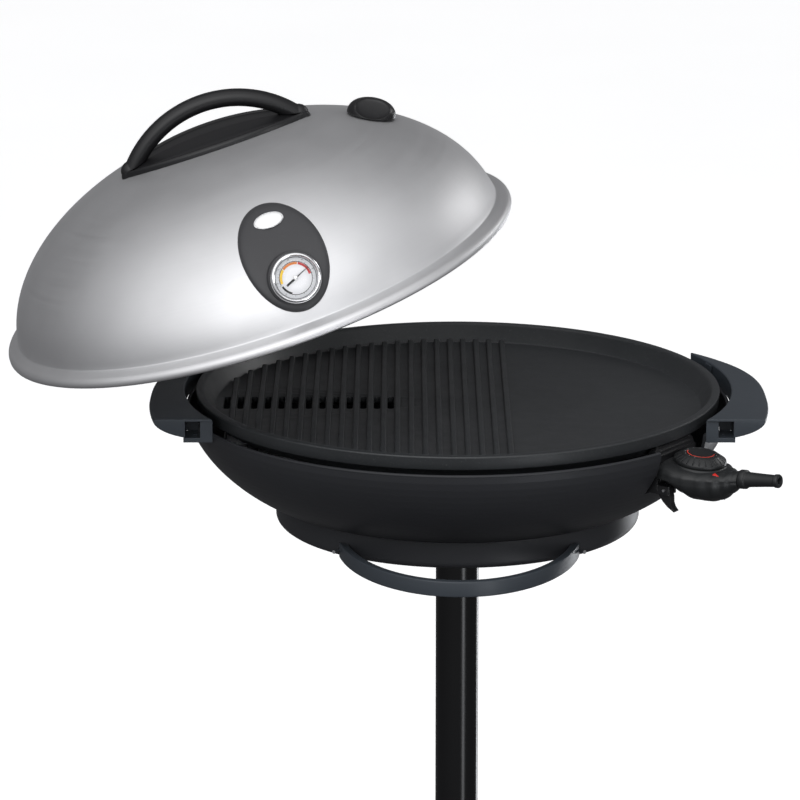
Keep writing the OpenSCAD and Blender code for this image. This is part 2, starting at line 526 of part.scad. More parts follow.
// controller screws: [x, y, height of the head's seat]
screw_at = [[seam_r + 8, 16, -43.4], [seam_r + 8, -16, -43.4], [tail_x - 18, 0, -55.2]];
pilot_x = seam_r + 49; pilot_y = -13;      // pilot lamp
module controller_top() color("#323638") difference() {
  union() {
    difference() {
      intersection() {
        at_ctrl() ctrl_body(0);
        at_ctrl() translate([seam_r - 1, -40, split_z]) cube([80, 80, 30]);
      }
      intersection() {
        at_ctrl() ctrl_body(2.2);
        at_ctrl() translate([seam_r - 1, -40, split_z - 1]) cube([80, 80, 30]);
      }
    }
    // turret under the dial
    intersection() {
      at_dial() difference() {
        translate([0, 0, -4]) cylinder(r = knob_d / 2 + 1, h = 4);
        translate([0, 0, -5]) cylinder(r = knob_d / 2 - 1.2, h = 3);
      }
      at_ctrl() translate([seam_r, -40, face_z - 20]) cube([80, 80, 40]);
    }
    // screw bosses
    intersection() {
      at_ctrl() for (p = screw_at) translate([p[0], p[1], p[2] + 3.6]) cylinder(r = 3.3, h = face_z - p[2] - 3.6);
      at_ctrl() ctrl_body(1);
    }
  }
  at_ctrl() for (p = screw_at) translate([p[0], p[1], p[2] - 1]) cylinder(r = 1.66, h = 9);
  at_dial() cylinder(r = 3.4, h = 20, center = true);
  at_tail() xcyl(4.6, 30, -15);
  at_ctrl() translate([pilot_x, pilot_y, face_z - 16]) cylinder(r = 2.55, h = 20);
  at_ctrl() translate([0, 0, nose_z]) xcyl(probe_r + 0.02, 10, seam_r - 1);
}
module controller_bottom() color("#323638") difference() {
  intersection() {
    at_ctrl() ctrl_body(0);
    at_ctrl() translate([seam_r - 1, -40, split_z - 40]) cube([80, 80, 40]);
  }
  intersection() {
    at_ctrl() ctrl_body(2.2);
    at_ctrl() translate([seam_r - 1, -40, split_z - 39]) cube([80, 80, 40]);
  }
  at_tail() xcyl(4.6, 30, -15);
  at_ctrl() translate([0, 0, nose_z]) xcyl(probe_r + 0.02, 10, seam_r - 1);
  at_ctrl() for (p = screw_at) translate([p[0], p[1], -60]) {
    cylinder(r = 1.7, h = 30);
    cylinder(r = 3.3, h = 60 + p[2]);
  }
}
module controller_nose() color("#1b1c1d") at_ctrl() difference() {
  translate([seam_r - 20, -house_y + 4, nose_z - 8]) cube([20, 2 * house_y - 8, 14]);
  for (s = [-1, 1]) translate([0, s * pin_y, nose_z]) xcyl(3.4, 18, seam_r - 20.5);
  translate([0, 0, nose_z]) xcyl(probe_r + 0.02, 30, seam_r - 25);
}
module temperature_probe() color("silver") at_ctrl() translate([0, 0, nose_z]) {
  xcyl(probe_r, 53, seam_r - 43);
  translate([seam_r - 43, 0, 0]) sphere(r = probe_r, $fn = 32);
}
module contact_sleeves() color("#c9a24a") at_ctrl() for (s = [-1, 1]) translate([0, s * pin_y, nose_z]) difference() {
  xcyl(3.36, 17, seam_r - 20);
  xcyl(2.46, 30, seam_r - 25);
}
module thermostat_switch() color("#d8d4c8") difference() {
  at_ctrl() translate([dial_r - 8, -9, -43.5]) cube([22, 18, 10.5]);
  at_dial() translate([0, 0, -30]) cylinder(r = 2.55, h = 40);
}
module pilot_lens() color("red") at_ctrl() translate([pilot_x, pilot_y, face_z - 11]) cylinder(r = 2.5, h = 5.4);
// bend relief with an end bead, its bore left open for the supply lead
module bend_relief_sleeve() color("#26292b") at_tail() rotate([0, 90, 0]) rotate_extrude() polygon([
  [3, -6], [4.5, -6], [4.5, 1.6], [sleeve_r + 1, 1.6], [sleeve_r + 1, 6.6], [sleeve_r - 0.6, 7.4],
  [sleeve_r - 1.9, sleeve_l - 3.6], [sleeve_r - 1.2, sleeve_l - 3], [sleeve_r - 1.2, sleeve_l - 0.6],
  [sleeve_r - 1.8, sleeve_l], [3, sleeve_l]]);
module controller_screws() color("silver") at_ctrl() for (p = screw_at)
  translate(p) mirror([0, 0, 1]) screw(1.65, 7, 3, 1.4);
module thermostat_knob() color("#3d4143") at_dial() {
  difference() {
    rotate_extrude() polygon([[0, 0.4], [knob_d / 2 - 0.6, 0.4], [knob_d / 2, 1.2], [knob_d / 2, 3.2],
      [knob_d / 2 - 6.5, knob_h - 0.6], [knob_d / 2 - 8, knob_h], [12.3, knob_h], [12.3, knob_h - 1.4], [0, knob_h - 1.4]]);
    for (a = [0:20:340]) rotate([0, 0, a]) translate([knob_d / 2 + 0.5, 0, 2]) rotate([0, -45, 0])
      translate([0, -0.6, -0.9]) cube([4, 1.2, 9]);
  }
  translate([0, 0, -16]) cylinder(r = 2.5, h = 16.5);
}
module knob_disc() color("#141516") at_dial() translate([0, 0, knob_h - 1.4]) cylinder(r = 12.2, h = 1.8);
// ---- lid ----------------------------------------------------------------------------------------------
dome_a = asin(band_h / dome_h);            // where the dome leaves its band
function dome_pt(a, o) = [(dome_r - o) * cos(a), (dome_h - o) * sin(a)];
rb = dome_r * cos(dome_a);
function band_pt(t, o) = [rb + 1.2 + (lid_r - 2.5 - rb - 1.2) * t - o, 7.4 + (band_h - 8) * pow(1 - t, 1.2) - 0.8 * o];
dome_n = 24;
// solid of revolution under the dome raised by o, above height z
module dome_solid(o) rotate_extrude() polygon(concat([[0, 10], [dome_r - o, 10]],
  [for (i = [0:dome_n]) dome_pt(dome_a + (90 - dome_a) * i / dome_n, o)]));
// layer on the dome from o1 up to o2
module dome_layer(o1, o2) rotate_extrude() polygon(concat(
  [for (i = [0:dome_n]) dome_pt(dome_a + (90 - dome_a) * i / dome_n, o2)],
  [for (i = [dome_n:-1:0]) dome_pt(dome_a + (90 - dome_a) * i / dome_n, o1)]));
screw_in = grip_half - grip_R;             // handle screws, from the lid's axis
function dome_z(r) = dome_h * sqrt(1 - pow(r / dome_r, 2));
module lid_shell() color("silver") difference() {
  at_lid() rotate_extrude() polygon(concat([[lid_r - 7.5, 0], [lid_r, 0], [lid_r, 5]],
    [for (i = [5:-1:0]) band_pt(i / 5, 0)],
    [for (i = [0:dome_n]) dome_pt(dome_a + (90 - dome_a) * i / dome_n, 0)],
    [for (i = [dome_n:-1:0]) dome_pt(dome_a + (90 - dome_a) * i / dome_n, lid_t)],
    [for (i = [0:5]) band_pt(i / 5, lid_t)], [[lid_r - 7.5, 3.4]]));
  at_lid() for (s = [-1, 1]) translate([s * screw_in, 0, dome_h - 60]) cylinder(r = 2.7, h = 80);
  at_gauge() translate([0, 0, gauge_b]) ycyl(stem_r + 0.3, 60, gauge_face - 30);
  at_vent() {
    translate([0, 0, -10]) cylinder(r = 3.05, h = 20);
    for (a = [0, 120, 240]) rotate([0, 0, a]) translate([10.5, 0, -10]) cylinder(r = 3, h = 20);
  }
}
base_half = grip_half + 2.5;               // half the base plate's length, before its tips are rounded
base_c = (pow(base_half, 2) - pow(grip_base_w / 2, 2)) / grip_base_w; // lens outline's circle centres
module handle_base() color("#17181a") difference() {
  intersection() {
    at_lid() dome_layer(0, -grip_base_t);
    at_lid() linear_extrude(dome_h + 20) {
      intersection() {
        translate([0, base_c]) circle(r = base_c + grip_base_w / 2);
        translate([0, -base_c]) circle(r = base_c + grip_base_w / 2);
        circle(r = base_half - 2);
      }
      // rounded pads under the arch's feet
      for (s = [-1, 1]) translate([s * screw_in, 0]) scale([1.15, 1]) circle(r = grip_R + 0.6);
    }
  }
  at_lid() for (s = [-1, 1]) translate([s * screw_in, 0, dome_h - 60]) cylinder(r = 2.7, h = 80);
}
grip_h = grip_top - grip_R - dome_z(screw_in);
grip_c = (pow(screw_in, 2) + pow(grip_h, 2)) / (2 * grip_h);   // radius of the arch's centre line
grip_end = asin(screw_in / grip_c);
module lid_handle() color("#17181a") difference() {
  at_lid() translate([0, 0, grip_top - grip_R - grip_c]) rotate([90, 0, 0]) rotate([0, 0, 90 - grip_end - 4])
    rotate_extrude(angle = 2 * grip_end + 8) translate([grip_c, 0]) circle(r = grip_R, $fn = 48);
  at_lid() dome_solid(-grip_base_t);
  at_lid() for (s = [-1, 1]) translate([s * screw_in, 0, dome_h - 60]) cylinder(r = 2.55, h = 60 - dome_h + dome_z(screw_in) + 9.5);
}
module lid_handle_screws() color("silver") at_lid() for (s = [-1, 1])
  translate([s * screw_in, 0, dome_z(screw_in + 4.4) - lid_t - 0.5]) mirror([0, 0, 1]) screw(2.5, 12, 4.4, 2.6);
seat_y = gauge_face + 6.5;                 // plane that carries the gauge, along its axis
egg_up = 46; egg_down = 50.5; egg_mid = 22;  // surround's outline, from the gauge's centre
module egg(o) polygon([for (i = [0:6:354]) let (h = sin(i) > 0 ? egg_up : egg_down)
  [(surround_w - o) * cos(i), gauge_b + egg_mid + (h - o) * sin(i)]]);
module gauge_surround() color("#4b4b4e") difference() {
  union() {
    intersection() {
      at_gauge() translate([0, -140, 0]) rotate([90, 0, 0]) linear_extrude(110) egg(0);
      at_lid() dome_layer(0, -surround_t);
    }
    at_gauge() translate([0, 0, gauge_b]) ycyl(bezel_r + 1, 30, seat_y - 30);
  }
  at_lid() dome_solid(0);
  at_gauge() translate([0, 0, gauge_b]) ycyl(stem_r + 0.3, 60, gauge_face - 30);
  at_gauge() translate([0, 0, gauge_b]) ycyl(bezel_r + 0.3, 30, seat_y);
}
module blank_badge() color("whitesmoke") intersection() {
  at_gauge() translate([0, -100, gauge_b + 53]) rotate([90, 0, 0]) linear_extrude(140)
    polygon([for (i = [0:12:348]) [12.3 * cos(i), 6.2 * sin(i)]]);
  at_lid() dome_layer(-surround_t, -surround_t - 0.8);
}
module gauge_case() color("#9a9da0") at_gauge() translate([0, 0, gauge_b]) difference() {
  union() { ycyl(bezel_r - 1.6, 5, seat_y); ycyl(stem_r, 46, seat_y - 46 + 0.5); }
  ycyl(bezel_r - 2.8, 5, seat_y + 2);
  ycyl(0.75, 8, seat_y - 3);
}
module gauge_bezel() color("silver") at_gauge() translate([0, 0, gauge_b]) rotate([90, 0, 0]) translate([0, 0, seat_y])
  rotate_extrude() polygon([[bezel_r - 1.55, 0], [bezel_r, 0], [bezel_r, 5], [bezel_r - 1, 7], [bezel_r - 2.4, 7.4],
    [bezel_r - 3.4, 6.2], [bezel_r - 1.55, 6.2]]);
module gauge_dial() color("#dcdee0") at_gauge() translate([0, 0, gauge_b]) difference() {
  ycyl(bezel_r - 2.85, 0.6, seat_y + 2);
  ycyl(0.75, 8, seat_y);
}
module gauge_glass() color("#dfe8ee", 0.35) at_gauge() translate([0, 0, gauge_b]) ycyl(bezel_r - 1.65, 1.2, seat_y + 5);
module gauge_nut() color("silver") at_gauge() translate([0, 0, gauge_b]) difference() {
  ycyl(8, 4, gauge_face - lid_t - 8.3);
  ycyl(stem_r + 0.03, 10, gauge_face - lid_t - 10);
}
needle_a = 68;                             // needle's turn from straight up, clockwise seen from outside
module gauge_needle() color("black") at_gauge() translate([0, 0, gauge_b]) {
  ycyl(1.6, 1, seat_y + 2.9);
  ycyl(0.7, 4, seat_y - 0.5);
  rotate([0, needle_a, 0]) translate([0, -seat_y - 3.1, 0]) rotate([90, 0, 0]) linear_extrude(0.6) polygon([[-0.5, 0],
    [-0.15, 13.5], [0.15, 13.5], [0.5, 0], [0.9, -3], [0.9, -10], [-0.9, -10], [-0.9, -3]]);
}
vent_wall = 2.2;                           // wall of the cap behind its flat face
vent_turned = -8.3;                         // turn of that face about the cap's rivet
// everything in front of the cap's flat face, which runs from its foot to its crest, set back by o
module vent_front(o) translate([0, -vent_d / 2 + 0.8, 1.2]) rotate([atan2(vent_h - 1.5, vent_d / 2 - 2.3), 0, 0])
  translate([-vent_d, -vent_d, -o]) cube([2 * vent_d, 3 * vent_d, vent_d]);
module vent_cap() color("#17181a") at_vent() rotate([0, 0, vent_turned]) difference() {
  rotate_extrude() polygon(concat([[0, 0.3]],
    [for (i = [0:9:90]) [vent_d / 2 * cos(i), 0.3 + (vent_h - 0.3) * sin(i)]]));
  vent_front(0);
  difference() {
    rotate_extrude() polygon(concat([[6, 0], [6, vent_h - 3], [vent_d / 2 - 8, vent_h - 7]],
      [for (i = [50:-10:0]) [(vent_d / 2 - 2) * cos(i), 0.3 + (vent_h - 2.3) * sin(i)]], [[vent_d / 2 - 2, 0]]));
    vent_front(vent_wall);
  }
  cylinder(r = 3.05, h = vent_h - 5.2);
  translate([vent_d / 2 - 8, -7, 0]) cube([12, 14, 5]);
}
module vent_rivet() color("silver") at_vent() {
  translate([0, 0, -lid_t - 2]) cylinder(r = 3, h = vent_h + lid_t - 3.6);
  translate([0, 0, -lid_t - 2.6]) cylinder(r = 5, h = 2.2);
}

bowl_shell();
base_drum();
heat_reflector();
drip_tray();
front_rail();
rail_screws();
left_handle();
right_handle();
handle_brackets();
handle_screws();
post_socket();
socket_screws();
upper_post();
lower_post();
post_coupler();
post_screws();
stand_base();
base_weight();
base_bolt();
base_feet();
grill_plate();
heating_element();
element_clamps();
clamp_screws();
connector_housing();
housing_screws();
lever_pin();
lever_spring();
release_lever();
controller_top();
controller_bottom();
controller_nose();
temperature_probe();
contact_sleeves();
thermostat_switch();
pilot_lens();
bend_relief_sleeve();
controller_screws();
thermostat_knob();
knob_disc();
lid_shell();
lid_handle();
handle_base();
lid_handle_screws();
gauge_surround();
blank_badge();
gauge_case();
gauge_bezel();
gauge_dial();
gauge_glass();
gauge_nut();
gauge_needle();
vent_cap();
vent_rivet();
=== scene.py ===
"""Dressed model of an electric grill on a pedestal, with its domed lid lifted off to the left."""
import json
import math

import bmesh
import bpy
from mathutils import Matrix, Vector


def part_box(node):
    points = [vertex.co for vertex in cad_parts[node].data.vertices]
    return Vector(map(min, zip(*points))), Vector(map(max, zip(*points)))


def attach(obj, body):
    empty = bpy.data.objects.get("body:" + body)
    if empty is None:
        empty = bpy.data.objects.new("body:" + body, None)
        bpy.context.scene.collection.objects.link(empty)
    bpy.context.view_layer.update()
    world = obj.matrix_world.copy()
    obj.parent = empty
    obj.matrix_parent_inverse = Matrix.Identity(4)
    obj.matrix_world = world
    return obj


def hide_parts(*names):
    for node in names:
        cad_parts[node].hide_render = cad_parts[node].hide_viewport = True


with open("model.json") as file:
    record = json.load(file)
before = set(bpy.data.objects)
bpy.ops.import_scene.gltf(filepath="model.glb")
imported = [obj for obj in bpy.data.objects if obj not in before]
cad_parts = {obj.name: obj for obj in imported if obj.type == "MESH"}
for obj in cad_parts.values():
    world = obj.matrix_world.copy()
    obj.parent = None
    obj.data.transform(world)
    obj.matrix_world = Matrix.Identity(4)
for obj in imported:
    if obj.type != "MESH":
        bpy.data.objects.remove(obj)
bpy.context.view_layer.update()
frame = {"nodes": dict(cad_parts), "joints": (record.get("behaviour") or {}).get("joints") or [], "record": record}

bl_info = {
    "name": "Pedestal Grill",
    "version": (1, 0, 0),
    "blender": (4, 5, 0),
    "location": "View3D > Sidebar > Grill",
    "description": "Dresses the grill's frame with its detailed pieces and finishes",
    "category": "Object",
}

# ---- places, read from the frame --------------------------------------------------------------
MM = 0.001
TURN = 2 * math.pi
NODES = frame["nodes"]
JOINTS = {j["name"]: j for j in frame["joints"]}


def reach(node, axis=0):
    """Half the extent of a node along an axis, in millimetres."""
    low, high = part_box(node)
    return (high[axis] - low[axis]) / 2 / MM


def top(node):
    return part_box(node)[1].z / MM


RIM = top("grill_plate") * MM
PLATE_R = reach("grill_plate")
BOWL_R = reach("bowl_shell", 1)
DRUM_R = reach("base_drum", 1)


def lifted_place():
    """Turns the lid from its seat on the plate to where it is drawn."""
    hinge = JOINTS["lid_lift"]
    pivot = Vector(hinge["pos_m"])
    swing = Matrix.Rotation(-math.radians(hinge["range_deg"][0]), 4, Vector(hinge["axis"]))
    return Matrix.Translation(pivot) @ swing @ Matrix.Translation(-pivot)


def shift(x, y, z):
    """A move in millimetres."""
    return Matrix.Translation((x * MM, y * MM, z * MM))


def turn(degrees, axis):
    return Matrix.Rotation(math.radians(degrees), 4, axis)


def angles(start, stop, steps):
    """Even steps from one angle to another, both included."""
    return [start + (stop - start) * k / steps for k in range(steps + 1)]


RIM_FRAME = Matrix.Translation((0, 0, RIM))
LID_FRAME = lifted_place() @ RIM_FRAME @ shift(0, 0, 0.3)
PULL = JOINTS["controller_pull"]["axis"]
CONTROL_FRAME = RIM_FRAME @ Matrix.Rotation(math.atan2(PULL[1], PULL[0]), 4, "Z")


# ---- sizes and colours ------------------------------------------------------------------------
def length(label, note, value):
    return bpy.props.FloatProperty(name=label, description=note, default=value * MM, unit="LENGTH",
                                   precision=4, min=0.0)


def angle(label, note, value):
    return bpy.props.FloatProperty(name=label, description=note, default=math.radians(value),
                                   unit="ROTATION")


def tint(label, note, value):
    return bpy.props.FloatVectorProperty(name=label, description=note, default=value, size=3,
                                         subtype="COLOR", min=0.0, max=1.0)


class GrillSizes(bpy.types.PropertyGroup):
    """Sizes of the grill's dressed pieces."""
    dome_radius: length("Dome radius", "Radius of the lid's dome above its band", 220.5)
    dome_height: length("Dome height", "Height of the dome above the lid's edge", 134.5)
    band_height: length("Band height", "Height of the band under the dome", 12.5)
    lid_radius: length("Lid radius", "Outer radius of the lid's edge", 231)
    sheet: length("Sheet", "Thickness of the lid's sheet", 1.6)
    grip_rise: length("Grip rise", "Height of the lid's grip above the dome", 38)
    grip_half: length("Grip half span", "Half the span of the lid's grip", 85)
    grip_thick: length("Grip thickness", "Thickness of the lid's grip", 15.5)
    grip_pad: length("Grip pad", "Thickness of the plate under the grip", 5)
    gauge_height: length("Gauge height", "Height of the gauge on the dome", 48)
    gauge_turn: angle("Gauge turn", "Turn of the gauge from the lid's front", 5.9)
    gauge_tilt: angle("Gauge tilt", "Upward tilt of the gauge's face", 16)
    bezel_radius: length("Bezel radius", "Outer radius of the gauge's bezel", 21.7)
    vent_out: length("Vent place", "Distance of the vent from the lid's axis", 136.5)
    vent_radius: length("Vent radius", "Radius of the vent cap", 21.5)
    vent_height: length("Vent height", "Height of the vent cap", 15.5)
    vent_turned: angle("Vent turned", "Turn of the vent cap's flat face about its rivet", -8.3)
    rib_pitch: length("Rib pitch", "Distance from one grilling rib to the next", 12)
    rib_width: length("Rib width", "Width of a grilling rib", 5)
    rib_height: length("Rib height", "Height of a grilling rib", 4)
    knob_radius: length("Knob radius", "Radius of the temperature knob", 22.5)
    knob_height: length("Knob height", "Height of the temperature knob", 8.2)


class GrillColours(bpy.types.PropertyGroup):
    """Colours of the grill's finishes."""
    lid: tint("Lid", "Satin silver of the lid", (0.66, 0.66, 0.67))
    bowl: tint("Bowl", "Charcoal of the bowl and drum", (0.023, 0.024, 0.027))
    grips: tint("Side grips", "Slate grey of the side grips and rail", (0.036, 0.043, 0.052))
    coating: tint("Coating", "Non-stick coating of the plate", (0.022, 0.024, 0.026))
    trim: tint("Black trim", "Black plastic of the lid's grip", (0.010, 0.010, 0.011))
    surround: tint("Gauge surround", "Grey of the plate around the gauge", (0.042, 0.042, 0.045))
    control: tint("Controller", "Dark grey of the controller", (0.014, 0.015, 0.016))
    post: tint("Post", "Gloss black of the post", (0.003, 0.003, 0.0035))


# ---- modelling by hand ------------------------------------------------------------------------
def only(*objs):
    """Selects these objects alone, the first of them active."""
    bpy.ops.object.select_all(action="DESELECT")
    for obj in objs:
        obj.select_set(True)
    bpy.context.view_layer.objects.active = objs[0]


def add(kind, name, **values):
    bpy.ops.object.select_all(action="DESELECT")
    getattr(bpy.ops.mesh, f"primitive_{kind}_add")(**values)
    obj = bpy.context.object
    obj.name = obj.data.name = name
    return obj


class Edit:
    """Edit mode on one object, with everything deselected at the start."""

    def __init__(self, obj, kind="VERT"):
        self.obj, self.kind = obj, kind

    def __enter__(self):
        only(self.obj)
        bpy.ops.object.mode_set(mode="EDIT")
        bpy.ops.mesh.select_mode(type=self.kind)
        bpy.ops.mesh.select_all(action="DESELECT")
        return self

    def __exit__(self, *_):
        bpy.ops.object.mode_set(mode="OBJECT")

    def pick(self, test, what="faces"):
        """Selects the faces, edges or vertices that the test names, and nothing else."""
        bpy.ops.mesh.select_all(action="DESELECT")
        mesh = bmesh.from_edit_mesh(self.obj.data)
        for part in getattr(mesh, what):
            if test(part):
                part.select_set(True)
        mesh.select_flush(True)
        bmesh.update_edit_mesh(self.obj.data)

    def all(self):
        bpy.ops.mesh.select_all(action="SELECT")

    def merge(self, near):
        """Merges all vertices that are nearer than this, in millimetres."""
        self.all()
        bpy.ops.mesh.remove_doubles(threshold=near * MM)

    def fill(self):
        """Fills every open loop."""
        bpy.ops.mesh.select_non_manifold(extend=False)
        bpy.ops.mesh.fill_holes(sides=0)


def extrude(move):
    bpy.ops.mesh.extrude_region_move(TRANSFORM_OT_translate={"value": move})


def settle():
    """Keeps the active object's place, turn and size in its mesh."""
    bpy.ops.object.transform_apply(location=True, rotation=True, scale=True)


def line(name, points, closed=False):
    """A line through points (x, y, z in millimetres), one vertex extruded from each to the next."""
    obj = add("plane", name, size=1)
    with Edit(obj) as edit:
        edit.all()
        bpy.ops.mesh.merge(type="CENTER")
        bpy.ops.transform.translate(value=Vector(points[0]) * MM)
        for a, b in zip(points, points[1:]):
            extrude((Vector(b) - Vector(a)) * MM)
        if closed:
            edit.all()
            bpy.ops.mesh.edge_face_add()
    return obj


def tidy(obj, merge=0.002):
    with Edit(obj) as edit:
        edit.merge(merge)
        bpy.ops.mesh.normals_make_consistent(inside=False)
    return obj


def lathe(name, section, steps=128, sweep=TURN, closed=False):
    """Spins a section (distance from the axis, height) about Z."""
    points = [(r, 0, z) for r, z in section]
    obj = line(name, points + points[:1] if closed else points)
    with Edit(obj) as edit:
        edit.merge(0.002)
        edit.all()
        # a positive angle would spin clockwise
        bpy.ops.mesh.spin(steps=steps, angle=-sweep, center=(0, 0, 0), axis=(0, 0, 1))
    return tidy(obj)


def slab(name, outline, z0, z1):
    """Flat outline (x, y) raised from z0 to z1."""
    obj = line(name, [(x, y, z0) for x, y in outline], closed=True)
    with Edit(obj, "FACE") as edit:
        edit.all()
        extrude((0, 0, (z1 - z0) * MM))
    return tidy(obj)


def block(name, low, high):
    low, high = Vector(low) * MM, Vector(high) * MM
    obj = add("cube", name, size=1, location=(low + high) / 2)
    obj.scale = high - low
    settle()
    return obj


def web(name, across, along, place):
    """A grid across × along whose vertices go to place(u, v), u and v from 0 to 1."""
    obj = add("grid", name, size=1, x_subdivisions=across, y_subdivisions=along)
    for vertex in obj.data.vertices:
        vertex.co = Vector(place(vertex.co.x + 0.5, vertex.co.y + 0.5)) * MM
    return obj


def close_ends(obj):
    """Fills every open loop of a tube."""
    with Edit(obj, "EDGE") as edit:
        edit.fill()
    return tidy(obj)


def modify(obj, kind, **values):
    only(obj)
    modifier = obj.modifiers.new(kind.title(), kind)
    for key, value in values.items():
        setattr(modifier, key, value)
    bpy.ops.object.modifier_apply(modifier=modifier.name)
    return obj


def round_edges(obj, width, sharp=35, segments=3):
    return modify(obj, "BEVEL", width=width * MM, segments=segments, limit_method="ANGLE",
                  angle_limit=math.radians(sharp), use_clamp_overlap=True)


def cut(obj, *cutters, operation="DIFFERENCE"):
    for cutter in cutters:
        modify(obj, "BOOLEAN", operation=operation, object=cutter, solver="EXACT")
        bpy.data.objects.remove(cutter)
    return obj


def put(obj, place):
    """Moves a finished shape into its frame, with the place kept in its mesh."""
    only(obj)
    obj.matrix_world = place @ obj.matrix_world
    settle()
    return obj


def join(name, objs):
    only(*objs)
    bpy.ops.object.join()
    obj = bpy.context.object
    obj.name = obj.data.name = name
    return obj


def keep(obj, body, slot, *stands_for, finish=None, sharp=40, at=None):
    """Puts a piece in its place, shades it, gives it its slot's finish and fixes it to its body."""
    if at is not None:
        put(obj, at)
    only(obj)
    bpy.ops.object.shade_smooth_by_angle(angle=math.radians(sharp))
    obj.data.materials.clear()
    obj.data.materials.append(FINISHES[finish or FINISH_OF_SLOT[slot]])
    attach(obj, body)
    if stands_for:
        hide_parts(*stands_for)
    return obj


# ---- finishes ---------------------------------------------------------------------------------
FINISHES = {}


class Nodes:
    """Short words for wiring a node tree."""

    def __init__(self, tree):
        self.tree = tree

    def add(self, kind, settings=None, **inputs):
        node = self.tree.nodes.new(kind)
        for key, value in (settings or {}).items():
            setattr(node, key, value)
        return self.wire(node, **inputs)

    def wire(self, node, **inputs):
        """Sets or links inputs by name, with underscores for the spaces."""
        for key, value in inputs.items():
            self.set(node, key.replace("_", " "), value)
        return node

    def feed(self, node, *values, out=0):
        """Sets or links inputs in their order and gives back an output."""
        for i, value in enumerate(values):
            self.set(node, i, value)
        return node.outputs[out]

    def set(self, node, key, value):
        socket = node.inputs[key]
        if isinstance(value, bpy.types.NodeSocket):
            self.tree.links.new(value, socket)
        else:
            socket.default_value = value

    def math(self, operation, *values, clamp=False):
        node = self.add("ShaderNodeMath", {"operation": operation, "use_clamp": clamp})
        return self.feed(node, *values)

    def times(self, *values, clamp=False):
        return self.math("MULTIPLY", *values, clamp=clamp)

    def plus(self, *values, clamp=False):
        return self.math("ADD", *values, clamp=clamp)

    def vector(self, operation, *values, out=0):
        return self.feed(self.add("ShaderNodeVectorMath", {"operation": operation}), *values, out=out)

    def split(self, vector):
        return self.add("ShaderNodeSeparateXYZ", Vector=vector).outputs

    def bump(self, shader, height, strength, distance, rounding=None):
        """Bump on a shader's normal, over edges rounded by a radius."""
        node = self.add("ShaderNodeBump", Strength=strength, Distance=distance, Height=height)
        if rounding:
            rounded = self.add("ShaderNodeBevel", {"samples": 4}, Radius=rounding)
            self.set(node, "Normal", rounded.outputs[0])
        self.set(shader, "Normal", node.outputs[0])

    def noise(self, vector, scale, detail=3.0, rough=0.5):
        return self.add("ShaderNodeTexNoise", Vector=vector, Scale=scale, Detail=detail,
                        Roughness=rough).outputs[0]

    def ramp(self, value, low, high, to_low=0.0, to_high=1.0):
        node = self.add("ShaderNodeMapRange", {"clamp": True})
        return self.feed(node, value, low, high, to_low, to_high)

    def blend(self, factor, a, b, kind="MIX"):
        node = self.add("ShaderNodeMix", {"data_type": "RGBA", "blend_type": kind})
        for i, value in ((0, factor), (6, a), (7, b)):
            self.set(node, i, value)
        return node.outputs[2]


GROUPS = {}


def group(name, inputs, outputs):
    """A new shader node group: its wiring helper, its input sockets and its output node."""
    tree = GROUPS[name] = bpy.data.node_groups.new(name, "ShaderNodeTree")
    for key, default in inputs.items():
        kind = "NodeSocketVector" if default is None else "NodeSocketFloat"
        socket = tree.interface.new_socket(name=key, in_out="INPUT", socket_type=kind)
        if default is not None:
            socket.default_value = default
    for key in outputs:
        tree.interface.new_socket(name=key, in_out="OUTPUT", socket_type="NodeSocketFloat")
    n = Nodes(tree)
    return n, n.add("NodeGroupInput").outputs, n.add("NodeGroupOutput")


def build_edge_wear():
    """Mask of the rubbed edges, broken up by noise."""
    n, inside, out = group("Edge Wear", {"Place": None, "Radius": 0.0008, "Strength": 1.0}, ["Mask"])
    rounded = n.add("ShaderNodeBevel", {"samples": 4}, Radius=inside["Radius"]).outputs[0]
    plain = n.add("ShaderNodeNewGeometry").outputs["Normal"]
    bend = n.math("SUBTRACT", 1.0, n.vector("DOT_PRODUCT", rounded, plain, out=1))
    patches = n.noise(inside["Place"], 60.0, 4.0)
    mask = n.times(n.ramp(bend, 0.01, 0.12), n.ramp(patches, 0.35, 0.65))
    n.wire(out, Mask=n.times(mask, inside["Strength"], clamp=True))


def build_grain():
    """Moulded or sprayed grain: a height and a slow change of shade."""
    n, inside, out = group("Grain", {"Place": None, "Scale": 900.0}, ["Height", "Shade"])
    fine = n.noise(inside["Place"], inside["Scale"], 2.0, 0.6)
    coarse = n.noise(inside["Place"], n.times(inside["Scale"], 0.3), 2.0)
    n.wire(out, Height=n.plus(n.times(fine, 0.7), n.times(coarse, 0.3)),
           Shade=n.noise(inside["Place"], 9.0, 4.0, 0.6))


def build_dust():
    """Settled dust on upward faces, and hand marks."""
    n, inside, out = group("Dust", {"Place": None, "Amount": 0.3}, ["Mask", "Marks"])
    facing = n.split(n.add("ShaderNodeNewGeometry").outputs["Normal"])
    settled = n.ramp(facing[2], 0.35, 1.0)
    specks = n.ramp(n.noise(inside["Place"], 260.0, 4.0, 0.7), 0.55, 0.75)
    cloud = n.ramp(n.noise(inside["Place"], 12.0, 3.0), 0.35, 0.7)
    spread = n.plus(n.times(specks, 0.6), n.times(cloud, 0.4))
    mask = n.times(settled, spread)
    n.wire(out, Mask=n.times(mask, inside["Amount"], clamp=True),
           Marks=n.ramp(n.noise(inside["Place"], 16.0, 5.0, 0.65), 0.3, 0.75))


